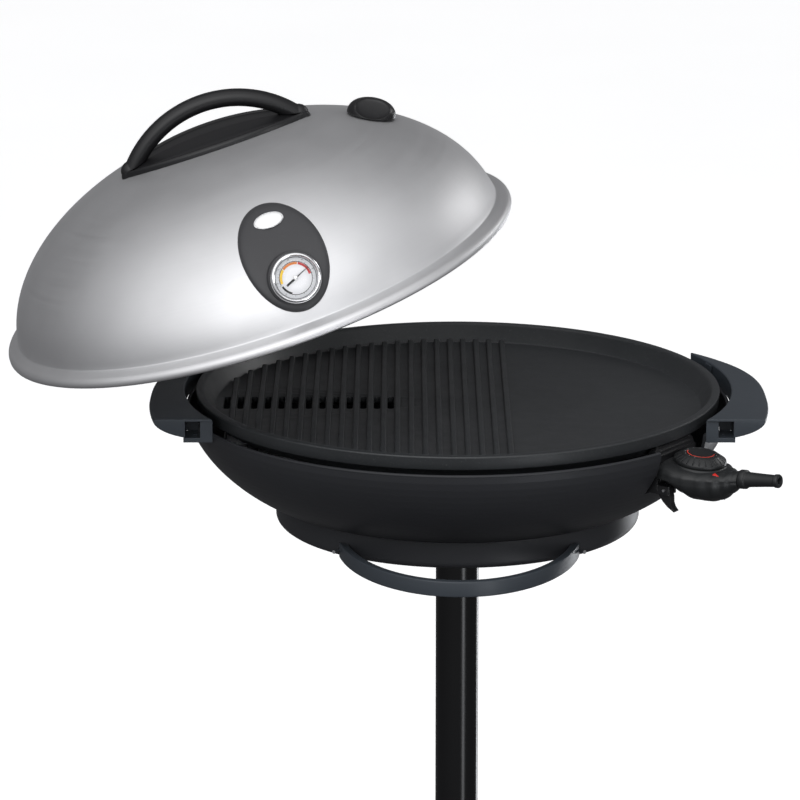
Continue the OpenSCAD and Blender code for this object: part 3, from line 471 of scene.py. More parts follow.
def build_brushing():
    """Fine rings turned about the Z of the place given."""
    n, inside, out = group("Turned Rings", {"Place": None, "Fineness": 1500.0}, ["Height", "Streaks"])
    x, y, z = n.split(inside["Place"])
    radius = n.vector("LENGTH", n.add("ShaderNodeCombineXYZ", X=x, Y=y).outputs[0], out=1)
    around = n.math("ARCTAN2", y, x)
    both = n.add("ShaderNodeCombineXYZ", X=n.times(radius, inside["Fineness"]),
                 Y=n.times(n.math("SINE", around), 1.3),
                 Z=n.plus(n.times(z, inside["Fineness"]),
                          n.times(n.math("COSINE", around), 1.3))).outputs[0]
    streaks = n.noise(both, 1.0, 3.0, 0.6)
    n.wire(out, Height=streaks, Streaks=n.ramp(streaks, 0.3, 0.7))


def placed(n, name, place, **values):
    """Puts a shared group into a material with its own values."""
    return n.add("ShaderNodeGroup", {"node_tree": GROUPS[name]}, Place=place, **values).outputs


def local_place(n, matrix=None):
    """Object coordinates, seen from a frame of the grill."""
    place = n.add("ShaderNodeTexCoord").outputs["Object"]
    if matrix is None:
        return place
    return n.add("ShaderNodeMapping", {"vector_type": "TEXTURE"}, Vector=place,
                 Location=matrix.translation, Rotation=matrix.to_euler()).outputs[0]


def material(name, frame_of=None):
    """A new finish: its wiring helper, its shader and the place it is drawn at."""
    made = bpy.data.materials.new(name)
    made.use_nodes = True
    made.node_tree.nodes.clear()
    n = Nodes(made.node_tree)
    shader = n.add("ShaderNodeBsdfPrincipled")
    end = n.add("ShaderNodeOutputMaterial", Surface=shader.outputs[0])
    end.is_active_output = True
    FINISHES[name] = made
    return n, shader, local_place(n, frame_of)


def lighter(colour, by):
    return tuple(min(1.0, c * by + 0.004 * (by - 1)) for c in colour[:3]) + (1.0,)


def plain_finish(name, colour, rough, metal, grain, bump, edge, dust, soft, specular,
                 coat=0.0, frame_of=None, turned=0.0, spread=0.05):
    """Painted, moulded or metal finish with grain, worn edges, dust and hand marks."""
    n, shader, place = material(name, frame_of)
    grained = placed(n, "Grain", place, Scale=grain)
    worn = placed(n, "Edge Wear", place, Radius=soft * 1.6, Strength=edge)
    dusty = placed(n, "Dust", place, Amount=dust)
    base = n.blend(grained["Shade"], lighter(colour, 0.88), lighter(colour, 1.12))
    base = n.blend(worn["Mask"], base, lighter(colour, 1.9))
    base = n.blend(dusty["Mask"], base, (0.42, 0.41, 0.40, 1.0))
    roughness = n.plus(n.times(dusty["Marks"], spread), rough - spread / 2)
    height = grained["Height"]
    if turned:
        rings = placed(n, "Turned Rings", place, Fineness=turned)
        height = n.plus(n.times(rings["Height"], 0.8), n.times(height, 0.2))
        roughness = n.plus(roughness, n.times(rings["Streaks"], 0.05))
    roughness = n.plus(roughness, n.times(dusty["Mask"], 0.25), clamp=True)
    n.wire(shader, Base_Color=base, Roughness=roughness, Metallic=metal, Specular_IOR_Level=specular,
           Coat_Weight=coat, Coat_Roughness=0.12)
    n.bump(shader, height, bump, 0.0004, soft)


# name, colour or the name of a colour above, roughness, metallic, grain scale, bump, worn edges, dust,
# rounding of the edges in metres, specular level
FINISH_TABLE = (
    ("satin silver", "lid", 0.50, 1, 2600, 0.035, 0.1, 0, 0.0008, 0.5),
    ("charcoal enamel", "bowl", 0.42, 0, 1500, 0.05, 0.3, 0, 0.0012, 0.25),
    ("slate plastic", "grips", 0.42, 0, 2200, 0.10, 0.25, 0.03, 0.0009, 0.35),
    ("black plastic", "trim", 0.36, 0, 1800, 0.08, 0.3, 0.02, 0.0009, 0.35),
    ("surround plastic", "surround", 0.48, 0, 2600, 0.08, 0.2, 0.04, 0.0009, 0.35),
    ("controller plastic", "control", 0.40, 0, 2600, 0.10, 0.3, 0.02, 0.0007, 0.35),
    ("gloss post", "post", 0.20, 0, 900, 0.02, 0.2, 0, 0.0008, 0.3),
    ("powder coat", (0.012, 0.012, 0.013), 0.5, 0, 1100, 0.25, 0.5, 0.06, 0.0012, 0.35),
    ("cast iron", (0.05, 0.045, 0.042), 0.75, 0, 300, 0.6, 0.4, 0.1, 0.0005, 0.5),
    ("rubber", (0.012, 0.012, 0.012), 0.8, 0, 1400, 0.3, 0.1, 0.3, 0.0005, 0.5),
    ("zinc steel", (0.55, 0.55, 0.56), 0.32, 1, 1200, 0.06, 0.2, 0.03, 0.0003, 0.5),
    ("tray steel", (0.50, 0.51, 0.52), 0.36, 1, 700, 0.10, 0.2, 0.1, 0.0006, 0.5),
    ("chrome", (0.75, 0.75, 0.76), 0.07, 1, 500, 0.01, 0, 0, 0.0004, 0.5),
    ("heater sheath", (0.16, 0.14, 0.13), 0.5, 0.8, 500, 0.2, 0.3, 0.1, 0.0005, 0.5),
    ("brass", (0.62, 0.42, 0.16), 0.3, 1, 900, 0.05, 0.1, 0, 0.0005, 0.5),
    ("ceramic", (0.62, 0.58, 0.50), 0.55, 0, 900, 0.1, 0.1, 0.1, 0.0005, 0.5),
    ("badge enamel", (0.82, 0.82, 0.82), 0.22, 0, 600, 0.01, 0, 0.02, 0.0003, 0.5),
) + tuple((f"print {name}", colour, 0.42, 0, 3000, 0.02, 0, 0, 0.0001, 0.5) for name, colour in (
    ("black", (0.012, 0.012, 0.012)), ("yellow", (0.80, 0.52, 0.03)), ("orange", (0.66, 0.20, 0.04)),
    ("red", (0.45, 0.03, 0.03)), ("white", (0.75, 0.75, 0.75)), ("scarlet", (0.62, 0.05, 0.03))))
FINISH_EXTRAS = {
    "satin silver": {"frame_of": LID_FRAME, "turned": 900, "spread": 0.03},
    "chrome": {"spread": 0.02},
    "badge enamel": {"coat": 0.5},
}
FINISH_OF_SLOT = {
    "charcoal": "charcoal enamel", "drum_black": "charcoal enamel", "steel": "zinc steel",
    "reflector_sheet": "tray steel", "rail_grey": "slate plastic", "handle_grey": "slate plastic",
    "post_black": "gloss post", "base_black": "powder coat", "weight_iron": "cast iron",
    "rubber_black": "rubber", "nonstick": "coating", "heater_sheath": "heater sheath",
    "black_plastic": "black plastic", "controller_grey": "controller plastic", "brass_contact": "brass",
    "ceramic": "ceramic", "pilot_red": "pilot red", "lid_silver": "satin silver",
    "surround_grey": "surround plastic", "badge_white": "badge enamel", "chrome": "chrome",
    "dial_white": "dial face", "clear_glass": "clear glass", "needle_black": "print black",
}


class Piece:
    """Builds something from the grill's sizes when its button is pressed."""

    def execute(self, context):
        self.build(context.scene.grill_sizes)
        return {"FINISHED"}


class GRILL_OT_finishes(Piece, bpy.types.Operator):
    """Builds the shared effects and every finish, and gives the frame's own nodes theirs"""
    bl_idname = "grill.finishes"
    bl_label = "Finishes"

    def build(self, sizes):
        colours = bpy.context.scene.grill_colours
        for effect in (build_edge_wear, build_grain, build_dust, build_brushing):
            effect()
        for row in FINISH_TABLE:
            name, colour, rough, metal, grain, bump, edge, dust, soft, specular = row
            if isinstance(colour, str):
                colour = getattr(colours, colour)
            plain_finish(name, colour, rough, metal, grain, bump, edge, dust, soft, specular,
                         **FINISH_EXTRAS.get(name, {}))
        self.coating(colours)
        self.dial_face(sizes)
        self.clear_glass()
        self.glowing("pilot red", (0.50, 0.02, 0.015))
        slot_of = {part["node"]: part["material_slot"] for part in frame["record"]["subparts"]}
        for name, node in NODES.items():
            node.data.materials.clear()
            node.data.materials.append(FINISHES[FINISH_OF_SLOT[slot_of[name]]])

    @staticmethod
    def coating(colours):
        """Dark non-stick coating with pale specks and the sheen of burnt-in oil."""
        n, shader, place = material("coating", RIM_FRAME)
        grained = placed(n, "Grain", place, Scale=1300.0)
        worn = placed(n, "Edge Wear", place, Radius=0.0012, Strength=0.35)
        dusty = placed(n, "Dust", place, Amount=0.05)
        specks = n.ramp(n.noise(place, 1500.0, 1.0, 0.4), 0.70, 0.78)
        base = n.blend(grained["Shade"], lighter(colours.coating, 0.8), lighter(colours.coating, 1.15))
        base = n.blend(n.times(specks, 0.5), base, (0.20, 0.20, 0.21, 1.0))
        base = n.blend(worn["Mask"], base, lighter(colours.coating, 2.2))
        n.wire(shader, Specular_IOR_Level=0.4, Base_Color=base,
               Roughness=n.plus(0.34, n.times(dusty["Marks"], 0.14)))
        n.bump(shader, grained["Height"], 0.12, 0.0004, 0.0008)

    @staticmethod
    def dial_face(sizes):
        """Silvered gauge face, lighter at the middle, with painted shade darkening it towards the bezel."""
        n, shader, place = material("dial face", gauge_frame(sizes))
        x, _, z = n.split(place)
        radius = n.vector("LENGTH", n.add("ShaderNodeCombineXYZ", X=x, Y=z).outputs[0], out=1)
        fine = n.noise(place, 2200.0, 2.0)
        # painted shade: the face goes from light silver at 8 mm out to dark grey at 19 mm, by the bezel
        painted_rim_shade = n.ramp(radius, 0.008, 0.019)
        base = n.blend(painted_rim_shade, (0.72, 0.72, 0.74, 1.0), (0.40, 0.41, 0.43, 1.0))
        n.wire(shader, Base_Color=n.blend(n.times(fine, 0.15), base, (0.9, 0.9, 0.9, 1.0)),
               Roughness=n.ramp(fine, 0.2, 0.8, 0.36, 0.48), Metallic=0.35)
        n.bump(shader, fine, 0.05, 0.0002)

    @staticmethod
    def clear_glass():
        """Clear glass with faint smears."""
        n, shader, place = material("clear glass")
        smear = n.noise(place, 90.0, 4.0, 0.6)
        n.wire(shader, Roughness=n.ramp(smear, 0.3, 0.8, 0.0, 0.06), Base_Color=(1.0, 1.0, 1.0, 1.0),
               Transmission_Weight=1.0, IOR=1.08)

    @staticmethod
    def glowing(name, colour):
        """Tinted lens over a small lamp."""
        n, shader, place = material(name)
        cloudy = n.noise(place, 500.0, 3.0)
        n.wire(shader, Base_Color=n.blend(cloudy, lighter(colour, 0.7), lighter(colour, 1.2)),
               Roughness=n.ramp(cloudy, 0.2, 0.8, 0.15, 0.3), Emission_Strength=0.15,
               Emission_Color=n.blend(cloudy, lighter(colour, 0.8), lighter(colour, 1.3)))
        n.bump(shader, cloudy, 0.1, 0.0002)


# ---- frames on the lid ------------------------------------------------------------------------
def dome_at(sizes, radius):
    """Height of the dome's outside at a distance from the lid's axis, in millimetres."""
    return sizes.dome_height / MM * math.sqrt(max(0.0, 1 - (radius * MM / sizes.dome_radius) ** 2))


def gauge_frame(sizes):
    """Frame at the gauge's centre, on its seat: Y into the dome, Z up the face."""
    rho = sizes.dome_radius * math.sqrt(1 - (sizes.gauge_height / sizes.dome_height) ** 2)
    tilt = sizes.gauge_tilt
    along = rho * math.cos(tilt) + sizes.gauge_height * math.sin(tilt) + 6.5 * MM
    rise = sizes.gauge_height * math.cos(tilt) - rho * math.sin(tilt)
    return (LID_FRAME @ Matrix.Rotation(sizes.gauge_turn, 4, "Z") @ Matrix.Rotation(-tilt, 4, "X")
            @ Matrix.Translation((0, -along, rise)))


def vent_frame(sizes):
    """Frame on the dome under the vent cap, Z along the dome's normal."""
    out, height, radius = sizes.vent_out, sizes.dome_height, sizes.dome_radius
    rise = height * math.sqrt(1 - (out / radius) ** 2)
    lean = math.atan(out / radius ** 2 * height ** 2 / rise)
    return LID_FRAME @ Matrix.Translation((out, 0, rise)) @ Matrix.Rotation(lean, 4, "Y")


# ---- pieces -----------------------------------------------------------------------------------
class GRILL_OT_cooking_plate(Piece, bpy.types.Operator):
    """Cast plate with its raised rim, grilling ribs and drain slots"""
    bl_idname = "grill.cooking_plate"
    bl_label = "Cooking plate"

    def build(self, sizes):
        r = PLATE_R
        floor, depth, under = r - 16, -16.0, -21.0
        last_rib, slot_half, slot_round = 43.0, 17.2, 2.8
        pan = lathe("cooking_plate", [
            (0, depth), (floor - 2.5, depth), (floor - 0.6, depth + 0.4), (floor + 0.8, depth + 1.8),
            (r - 8.1, -2.2), (r - 7.3, -0.8), (r - 6.2, -0.1), (r - 5.4, 0), (r - 1.6, 0),
            (r - 0.5, -0.35), (r, -1.3), (r - 0.4, -5), (r - 0.9, -11), (r - 1.2, -11.8), (r - 2, -12),
            (r - 7.6, -12), (r - 9, -12), (r - 14, under), (0, under)], steps=240)
        slots = []
        for i in range(13):
            x = last_rib - sizes.rib_pitch / MM * (i + 8.5)
            outline = [(x + slot_round * math.cos(a), s * slot_half + slot_round * math.sin(a))
                       for s, start in ((1, 0), (-1, math.pi))
                       for a in angles(start, start + math.pi, 8)]
            slots.append(slab("slot", outline, under - 1, depth + 1))
        pan = cut(pan, join("slots", slots))
        ribs = []
        half, high = sizes.rib_width / MM / 2, sizes.rib_height / MM
        x = last_rib
        while x > 8 - floor:
            y = math.sqrt((floor - 1.5) ** 2 - (abs(x) + half) ** 2)
            rib = block("rib", (x - half, -y, depth - 0.4), (x + half, y, depth + high))
            with Edit(rib, "EDGE") as edit:
                edit.pick(lambda e: all(v.co.z > (depth + high - 0.1) * MM for v in e.verts), "edges")
                bpy.ops.mesh.bevel(offset=1.5 * MM, segments=5, affect="EDGES")
            ribs.append(rib)
            x -= sizes.rib_pitch / MM
        pan = join("cooking_plate", [pan] + ribs)
        round_edges(pan, 0.35, sharp=50, segments=2)
        keep(pan, "plate", "nonstick", "grill_plate", sharp=32, at=RIM_FRAME)


class GRILL_OT_bowl_edge(Piece, bpy.types.Operator):
    """Rolled edge of the bowl, open at the connector's notch"""
    bl_idname = "grill.bowl_edge"
    bl_label = "Bowl edge"

    def build(self, _):
        notch_half = 36.5
        gap = math.asin(notch_half / BOWL_R)
        drop = RIM / MM - top("bowl_shell")
        section = [(BOWL_R - 1.5 + 1.7 * math.cos(a), -drop + 0.1 + 1.5 * math.sin(a))
                   for a in angles(0, TURN, 14)[:-1]]
        edge = lathe("bowl_edge", section, steps=200, sweep=TURN - 2 * gap, closed=True)
        put(edge, CONTROL_FRAME @ Matrix.Rotation(gap, 4, "Z"))
        close_ends(edge)
        keep(edge, "grill_base", "charcoal")


def grip_edge(y, inner, outer, back):
    """Outer edge of a side grip at y, widest in front of the middle."""
    bulge = -45.0
    if y > bulge:
        narrowing = outer - math.sqrt((inner + 1.5) ** 2 - back ** 2)
        return outer - narrowing * ((y - bulge) / (back - bulge)) ** 3
    return outer - 6.5 * ((y - bulge) / 68) ** 2


class GRILL_OT_side_grips(Piece, bpy.types.Operator):
    """The two side grips, broad on top and undercut, with the pockets for their brackets"""
    bl_idname = "grill.side_grips"
    bl_label = "Side grips"

    def build(self, _):
        inner = BOWL_R + 1.5
        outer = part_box("right_handle")[1].x / MM
        back, thick = 113.0, 18.0

        def place(u, v):
            y = back * (2 * v - 1)
            xi = math.sqrt(inner ** 2 - y ** 2)
            wide = max(grip_edge(y, inner, outer, back) - xi, 0.6)
            ring = [(0, -0.9), (0.9, 0)] + [(wide * k / 6, 0) for k in range(1, 6)]
            ring += [(wide - 1.4, -0.25), (wide - 0.4, -0.9), (wide, -2.0)]
            ring += [(wide * math.cos(a) ** 0.9, -2.0 - (thick - 2.0) * math.sin(a) ** 1.15)
                     for a in angles(0, math.pi / 2, 12)[1:-1]]
            ring += [(1.2, -thick), (0, -thick + 1.0), (0, -9.0)]
            x, z = ring[round(u * (len(ring) - 1))]
            return (xi + min(max(x, 0.0), wide), y, z)

        columns = 2 + 5 + 3 + 11 + 3  # points of the ring above
        for side, name, node in ((1, "right_grip", "right_handle"), (-1, "left_grip", "left_handle")):
            grip = web(name, columns - 1, 90, place)
            with Edit(grip, "EDGE") as edit:
                edit.merge(0.02)
            grip = self.close_ring(grip)
            round_edges(grip, 0.6, sharp=55, segments=3)
            cut(grip, block("pocket", (inner - 40, -back - 1, -thick - 1), (inner - 5, 28 - back, -2)),
                block("seat", (inner - 40, back - 51, -thick - 1), (inner - 12, back - 27, -2)))
            if side < 0:
                put(grip, Matrix.Scale(-1, 4, (1, 0, 0)))
                tidy(grip)
            keep(grip, "grill_base", "handle_grey", node, sharp=30, at=RIM_FRAME)

    @staticmethod
    def close_ring(grip):
        """Joins the first and last columns of the web and fills its two ends."""
        with Edit(grip, "EDGE") as edit:
            mesh = bmesh.from_edit_mesh(grip.data)
            ends = sorted({round(v.co.y / MM, 3) for v in mesh.verts})
            low, high = ends[0] * MM, ends[-1] * MM
            edit.pick(lambda e: e.is_boundary and not all(abs(v.co.y - low) < 1e-6 for v in e.verts)
                      and not all(abs(v.co.y - high) < 1e-6 for v in e.verts), "edges")
            bpy.ops.mesh.bridge_edge_loops()
            bpy.ops.mesh.select_all(action="DESELECT")
            edit.fill()
        return tidy(grip)


class GRILL_OT_front_band(Piece, bpy.types.Operator):
    """Half-round rail in front of the drum"""
    bl_idname = "grill.front_band"
    bl_label = "Front rail"

    def build(self, _):
        low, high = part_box("front_rail")
        front = -low.y / MM
        half, thick, centre = 106.0, 7.0, 90.0
        z0, z1 = low.z / MM - RIM / MM, high.z / MM - RIM / MM

        def at(t, inset):
            a = math.radians(t)
            return ((half - inset) * math.sin(a), -centre - (front - centre - inset) * math.cos(a))

        outline = [at(t, 0) for t in range(-108, 109, 3)] + [at(t, thick) for t in range(108, -109, -3)]
        band = slab("front_band", outline, z0, z1)
        drum = add("cylinder", "drum", radius=(DRUM_R + 0.02) * MM, depth=0.2, vertices=240,
                   location=(0, 0, -0.12))
        cut(band, drum)
        round_edges(band, 1.9, sharp=60, segments=4)
        keep(band, "grill_base", "rail_grey", "front_rail", sharp=32, at=RIM_FRAME)


class GRILL_OT_dome(Piece, bpy.types.Operator):
    """The lid's dome with its flared band and rolled edge"""
    bl_idname = "grill.dome"
    bl_label = "Dome"

    def build(self, sizes):
        radius, height, band = sizes.dome_radius / MM, sizes.dome_height / MM, sizes.band_height / MM
        edge, sheet = sizes.lid_radius / MM, sizes.sheet / MM
        leave = math.asin(band / height)

        def curve(inset, count):
            return [((radius - inset) * math.cos(a), (height - inset) * math.sin(a))
                    for a in angles(math.pi / 2, leave, count)]

        outside = curve(0, 56)
        foot = outside[-1][0]
        flare = [(foot + 0.15, band - 0.5), (foot + 0.5, band - 0.9), (foot + 1.3, band - 1.3),
                 (foot + 3.2, band - 2.1), (foot + 5.2, band - 3.0), (foot + 6.6, band - 3.7),
                 (edge - 3.6, 8.3), (edge - 2.6, 7.7), (edge - 1.7, 6.9), (edge - 0.9, 5.9),
                 (edge - 0.35, 4.8), (edge, 3.4), (edge, 1.4), (edge - 0.4, 0.5), (edge - 1.2, 0.0)]
        under = [(edge - 6.4, 0.0), (edge - 7.2, 0.3), (edge - 7.5, 1.2), (edge - 7.3, 2.6),
                 (edge - 6.0, 3.6), (edge - 4.4, 5.6), (edge - 5.6, 6.3), (edge - 8.4, 7.6),
                 (edge - 11.0, 9.0), (foot - 1.0, band - 2.2), (foot - sheet, band - 0.6)]
        inside = curve(sheet, 40)[-2::-1]
        dome = lathe("lid_dome", outside + flare + under + inside, steps=180)
        keep(dome, "lid", "lid_silver", "lid_shell", sharp=60, at=LID_FRAME)


class GRILL_OT_lid_grip(Piece, bpy.types.Operator):
    """Arched grip of the lid, and the lens-shaped plate under it"""
    bl_idname = "grill.lid_grip"
    bl_label = "Lid grip"

    def build(self, sizes):
        thick, half = sizes.grip_thick / MM / 2, sizes.grip_half / MM
        pad = sizes.grip_pad / MM
        crest = (sizes.dome_height + sizes.grip_rise) / MM
        foot = half - thick
        rise = crest - thick - dome_at(sizes, foot)
        arc = (foot ** 2 + rise ** 2) / (2 * rise)
        end = math.asin(foot / arc) + math.radians(3)
        section = []
        for k in range(28):
            c, s = math.cos(TURN * k / 28), math.sin(TURN * k / 28)
            section.append((arc + thick * math.copysign(abs(c) ** 0.96, c),
                            8.6 * math.copysign(abs(s) ** 1.12, s)))
        grip = lathe("lid_grip", section, steps=72, sweep=2 * end, closed=True)
        close_ends(grip)
        put(grip, shift(0, 0, crest - thick - arc) @ turn(90, "X")
            @ Matrix.Rotation(math.pi / 2 - end, 4, "Z"))
        for side in (-1, 1):
            place = Vector((side * (foot - 0.4), 0, dome_at(sizes, foot) + pad - 3)) * MM
            ball = add("uv_sphere", "foot", segments=48, ring_count=32, radius=MM, location=place)
            ball.scale = (9.0, 8.2, 9.0)
            settle()
            cut(grip, ball, operation="UNION")
        dome = add("uv_sphere", "dome", segments=160, ring_count=96, radius=1)
        lift = pad - 0.6
        dome.scale = [(sizes.dome_radius + lift * MM)] * 2 + [sizes.dome_height + lift * MM]
        settle()
        cut(grip, dome)
        tidy(grip)
        keep(grip, "lid", "black_plastic", "lid_handle", sharp=50, at=LID_FRAME)
        self.pad(sizes, pad)

    @staticmethod
    def pad(sizes, pad):
        """Lens-shaped plate on the dome: a rounded lip round a shallow tray."""
        long, round_from, foot_half = 86.6, 77.3, 8.4
        lens_radius, lens_centre = 108.9, 64.9

        def half_width(x):
            x = abs(x)
            lens = math.sqrt(lens_radius ** 2 - min(x, 86.5) ** 2) - lens_centre
            beyond = max(x - round_from, 0) / (long - round_from)
            foot = foot_half * math.sqrt(max(0.0, 1 - beyond ** 2))
            return max(lens, foot) if x > 70 else max(lens, 0)

        profile = [(1.0, -0.3), (1.0, pad * 0.55), (0.985, pad - 0.9), (0.955, pad - 0.15),
                   (0.925, pad), (0.90, pad - 0.1), (0.875, pad - 0.7), (0.86, pad - 1.5),
                   (0.82, pad - 2.1), (0.60, pad - 2.0), (0.30, pad - 1.4), (0.06, pad - 1.0),
                   (0.0, pad - 0.9)]
        ring = [(-t, z) for t, z in profile] + [(t, z) for t, z in reversed(profile[:-1])]

        def place(u, v):
            x = -long + 2 * long * (0.5 - 0.5 * math.cos(math.pi * v))
            t, z = ring[round(u * (len(ring) - 1))]
            near_end = min(1.0, (long - abs(x)) / 5.0)
            y = t * max(half_width(x), 0.05)
            lift = -0.3 + (z + 0.3) * math.sqrt(max(0.0, near_end * (2 - near_end)))
            return (x, y, dome_at(sizes, math.hypot(x, y)) + lift)

        plate = put(tidy(web("lid_grip_plate", len(ring) - 1, 96, place), 0.08), LID_FRAME)
        with Edit(plate, "EDGE") as edit:
            edit.fill()
        keep(plate, "lid", "black_plastic", "handle_base", sharp=38)


class GRILL_OT_vent(Piece, bpy.types.Operator):
    """Turning vent cap: a dome with a scooped face"""
    bl_idname = "grill.vent"
    bl_label = "Vent cap"

    def build(self, sizes):
        radius, height = sizes.vent_radius / MM, sizes.vent_height / MM
        outside = [(radius * math.cos(a) ** 0.9, 1.6 + (height - 1.6) * math.sin(a) ** 0.95)
                   for a in angles(0, math.pi / 2, 20)]
        section = [(0, 0.3), (radius - 1, 0.3), (radius, 0.8)] + outside
        cap = lathe("vent_hood", section, steps=96)
        with Edit(cap) as edit:
            edit.all()
            low = Vector((0, (0.8 - radius) * MM, 1.2 * MM))
            slope = Vector((0, 1.5 - height, radius - 2.3)).normalized()
            bpy.ops.mesh.bisect(plane_co=low, plane_no=slope, use_fill=True, clear_outer=True)
            bpy.ops.mesh.select_mode(type="FACE")
            edit.pick(lambda f: f.normal.dot(slope) > 0.999 and f.calc_area() > 1e-4)
            face = next(f for f in bmesh.from_edit_mesh(cap.data).faces if f.select)
            outline = [v.co.copy() for v in face.verts]
            middle = sum(outline, Vector()) / len(outline)
        share, level = 0.955, 2.0
        scoop = line("scoop", [(middle + (p - middle) * share) / MM + slope * level for p in outline],
                     closed=True)
        with Edit(scoop, "FACE") as edit:
            edit.all()
            for narrower, deeper in ((0.955, -0.5), (0.91, -1.0), (0.72, -1.5), (0.45, -1.9),
                                     (0.2, -2.1)):
                extrude(slope * (deeper - level) * MM)
                bpy.ops.transform.resize(value=(narrower / share,) * 3,
                                         center_override=middle + slope * deeper * MM)
                share, level = narrower, deeper
        tidy(cut(cap, tidy(scoop)))
        keep(cap, "vent", "black_plastic", "vent_cap", sharp=35,
             at=vent_frame(sizes) @ Matrix.Rotation(sizes.vent_turned, 4, "Z"))


class GRILL_OT_gauge(Piece, bpy.types.Operator):
    """Lid gauge: egg-shaped surround, chrome bezel, printed scale, badge left bare and pointer hub"""
    bl_idname = "grill.gauge"
    bl_label = "Gauge"

    def build(self, sizes):
        place = gauge_frame(sizes)
        self.surround(sizes, place)
        self.bezel(sizes, place)
        self.scale(place)
        hub = lathe("pointer_hub", [(0, 0), (1.7, 0), (1.9, 0.2), (1.9, 0.8), (1.5, 1.1), (0, 1.2)],
                    steps=48)
        keep(hub, "needle", "needle_black", finish="chrome",
             at=place @ shift(0, -3.7, 0) @ turn(90, "X"))

    @staticmethod
    def surround(sizes, place):
        """Plate on the dome with rounded edges, and the boss that carries the gauge."""
        to_lid = LID_FRAME.inverted() @ place

        def oval(name, steps, around, centre, half, above, below, lift=0.0):
            """Rings on the dome: each step is a share of the outline and a height."""
            def place_at(u, v):
                t, thick = steps[round(v * (len(steps) - 1))]
                tall = above if math.sin(TURN * u) > 0 else below
                return on_dome(sizes, to_lid, t * half * math.cos(TURN * u),
                               centre + t * tall * math.sin(TURN * u), lift + thick)

            return put(tidy(web(name, around, len(steps) - 1, place_at), 0.01), LID_FRAME)

        egg = oval("gauge_plate", [(0.0, 3.6), (0.3, 3.6), (0.6, 3.6), (0.80, 3.55), (0.88, 3.45),
                                   (0.93, 3.1), (0.965, 2.5), (0.988, 1.6), (1.0, 0.4), (1.0, -0.3)],
                   120, 22.0, 35.5, 46.0, 50.5)
        r = sizes.bezel_radius / MM
        boss = lathe("boss", [(r - 0.5, -14), (r + 1.6, -14), (r + 1.4, -1.2), (r + 1.0, -0.3),
                              (r + 0.4, 0), (4.4, 0)], steps=96)
        put(boss, place @ turn(90, "X"))
        egg = join("gauge_plate", [egg, boss])
        keep(egg, "lid", "surround_grey", "gauge_surround", sharp=40)
        badge_size = (72, 53, 12.3, 6.2, 6.2, 3.5)
        badge = oval("badge_oval", [(0.0, 0.9), (0.5, 0.9), (0.86, 0.85), (0.95, 0.6), (1.0, 0.0)],
                     *badge_size)
        keep(badge, "lid", "badge_white", "blank_badge", sharp=50)
        rim = oval("badge_rim", [(0.985, 0.0), (0.985, 0.95), (1.03, 1.1), (1.075, 0.8), (1.085, 0.0)],
                   *badge_size)
        keep(rim, "lid", "chrome", sharp=50)

    @staticmethod
    def bezel(sizes, place):
        r = sizes.bezel_radius / MM
        ring = lathe("gauge_rim", [
            (r - 1.6, 0.0), (r - 0.3, 0.0), (r, 0.4), (r, 3.6), (r - 0.15, 5.0), (r - 0.7, 6.3),
            (r - 1.5, 7.1), (r - 2.4, 7.4), (r - 3.1, 7.1), (r - 3.5, 6.3), (r - 3.6, 5.4),
            (r - 3.5, 3.0), (r - 1.6, 2.9)], steps=128, closed=True)
        keep(ring, "lid", "chrome", "gauge_bezel", sharp=40, at=place @ turn(90, "X"))

    @staticmethod
    def scale(place):
        """Printed arcs, ticks and figures of the dial."""
        front = place @ shift(0, -2.62, 0) @ turn(90, "X") @ turn(-21, "Z")
        for name, colour, inner, outer, start, stop in (
                ("scale_ring", "black", 13.6, 14.1, -125, 210),
                ("dial_edge", "black", 17.2, 17.6, 0, 360),
                ("scale_low", "black", 12.4, 14.1, 214, 258),
                ("scale_yellow", "yellow", 11.4, 13.4, 150, 205),
                ("scale_orange", "orange", 11.4, 13.4, 86, 147),
                ("scale_red", "red", 11.4, 13.4, 18, 83)):
            steps = max(4, int(abs(stop - start) / 4))
            band = printed_arc(name, inner, outer, 0.08, start, stop, steps, front)
            keep(band, "lid", "dial_white", finish=f"print {colour}")
        ticks, inner = [], 14.1
        for k in range(34):
            long = 1.3 if k % 3 == 0 else 0.7
            tick = block("tick", (inner, -0.10, 0), (inner + long, 0.10, 0.08))
            ticks.append(put(tick, turn(10 * k - 60, "Z")))
        marks = join("scale_ticks", ticks)
        keep(marks, "lid", "dial_white", finish="print black", at=front)
        figures, ring = [], 16.1
        for k, value in enumerate((50, 100, 150, 200, 250, 300)):
            a = math.radians(240 - 42 * k)
            bpy.ops.object.text_add(location=(0, 0, 0))
            figure = bpy.context.object
            figure.data.body, figure.data.size = str(value), 2.2 * MM
            figure.data.align_x, figure.data.align_y = "CENTER", "CENTER"
            figure.data.extrude = 0.04 * MM
            bpy.ops.object.convert(target="MESH")
            at = shift(ring * math.cos(a), ring * math.sin(a), 0.04) @ Matrix.Scale(0.62, 4)
            figures.append(put(bpy.context.object, at))
        figures = join("scale_figures", figures)
        keep(figures, "lid", "dial_white", finish="print black", at=front)


def printed_arc(name, inner, outer, high, start, stop, steps, place):
    """Raised print between two radii, from start to stop in degrees about the place's Z."""
    band = lathe(name, [(inner, 0), (outer, 0), (outer, high), (inner, high)], steps=steps,
                 sweep=math.radians(stop - start), closed=True)
    return put(close_ends(band), place @ turn(start, "Z"))


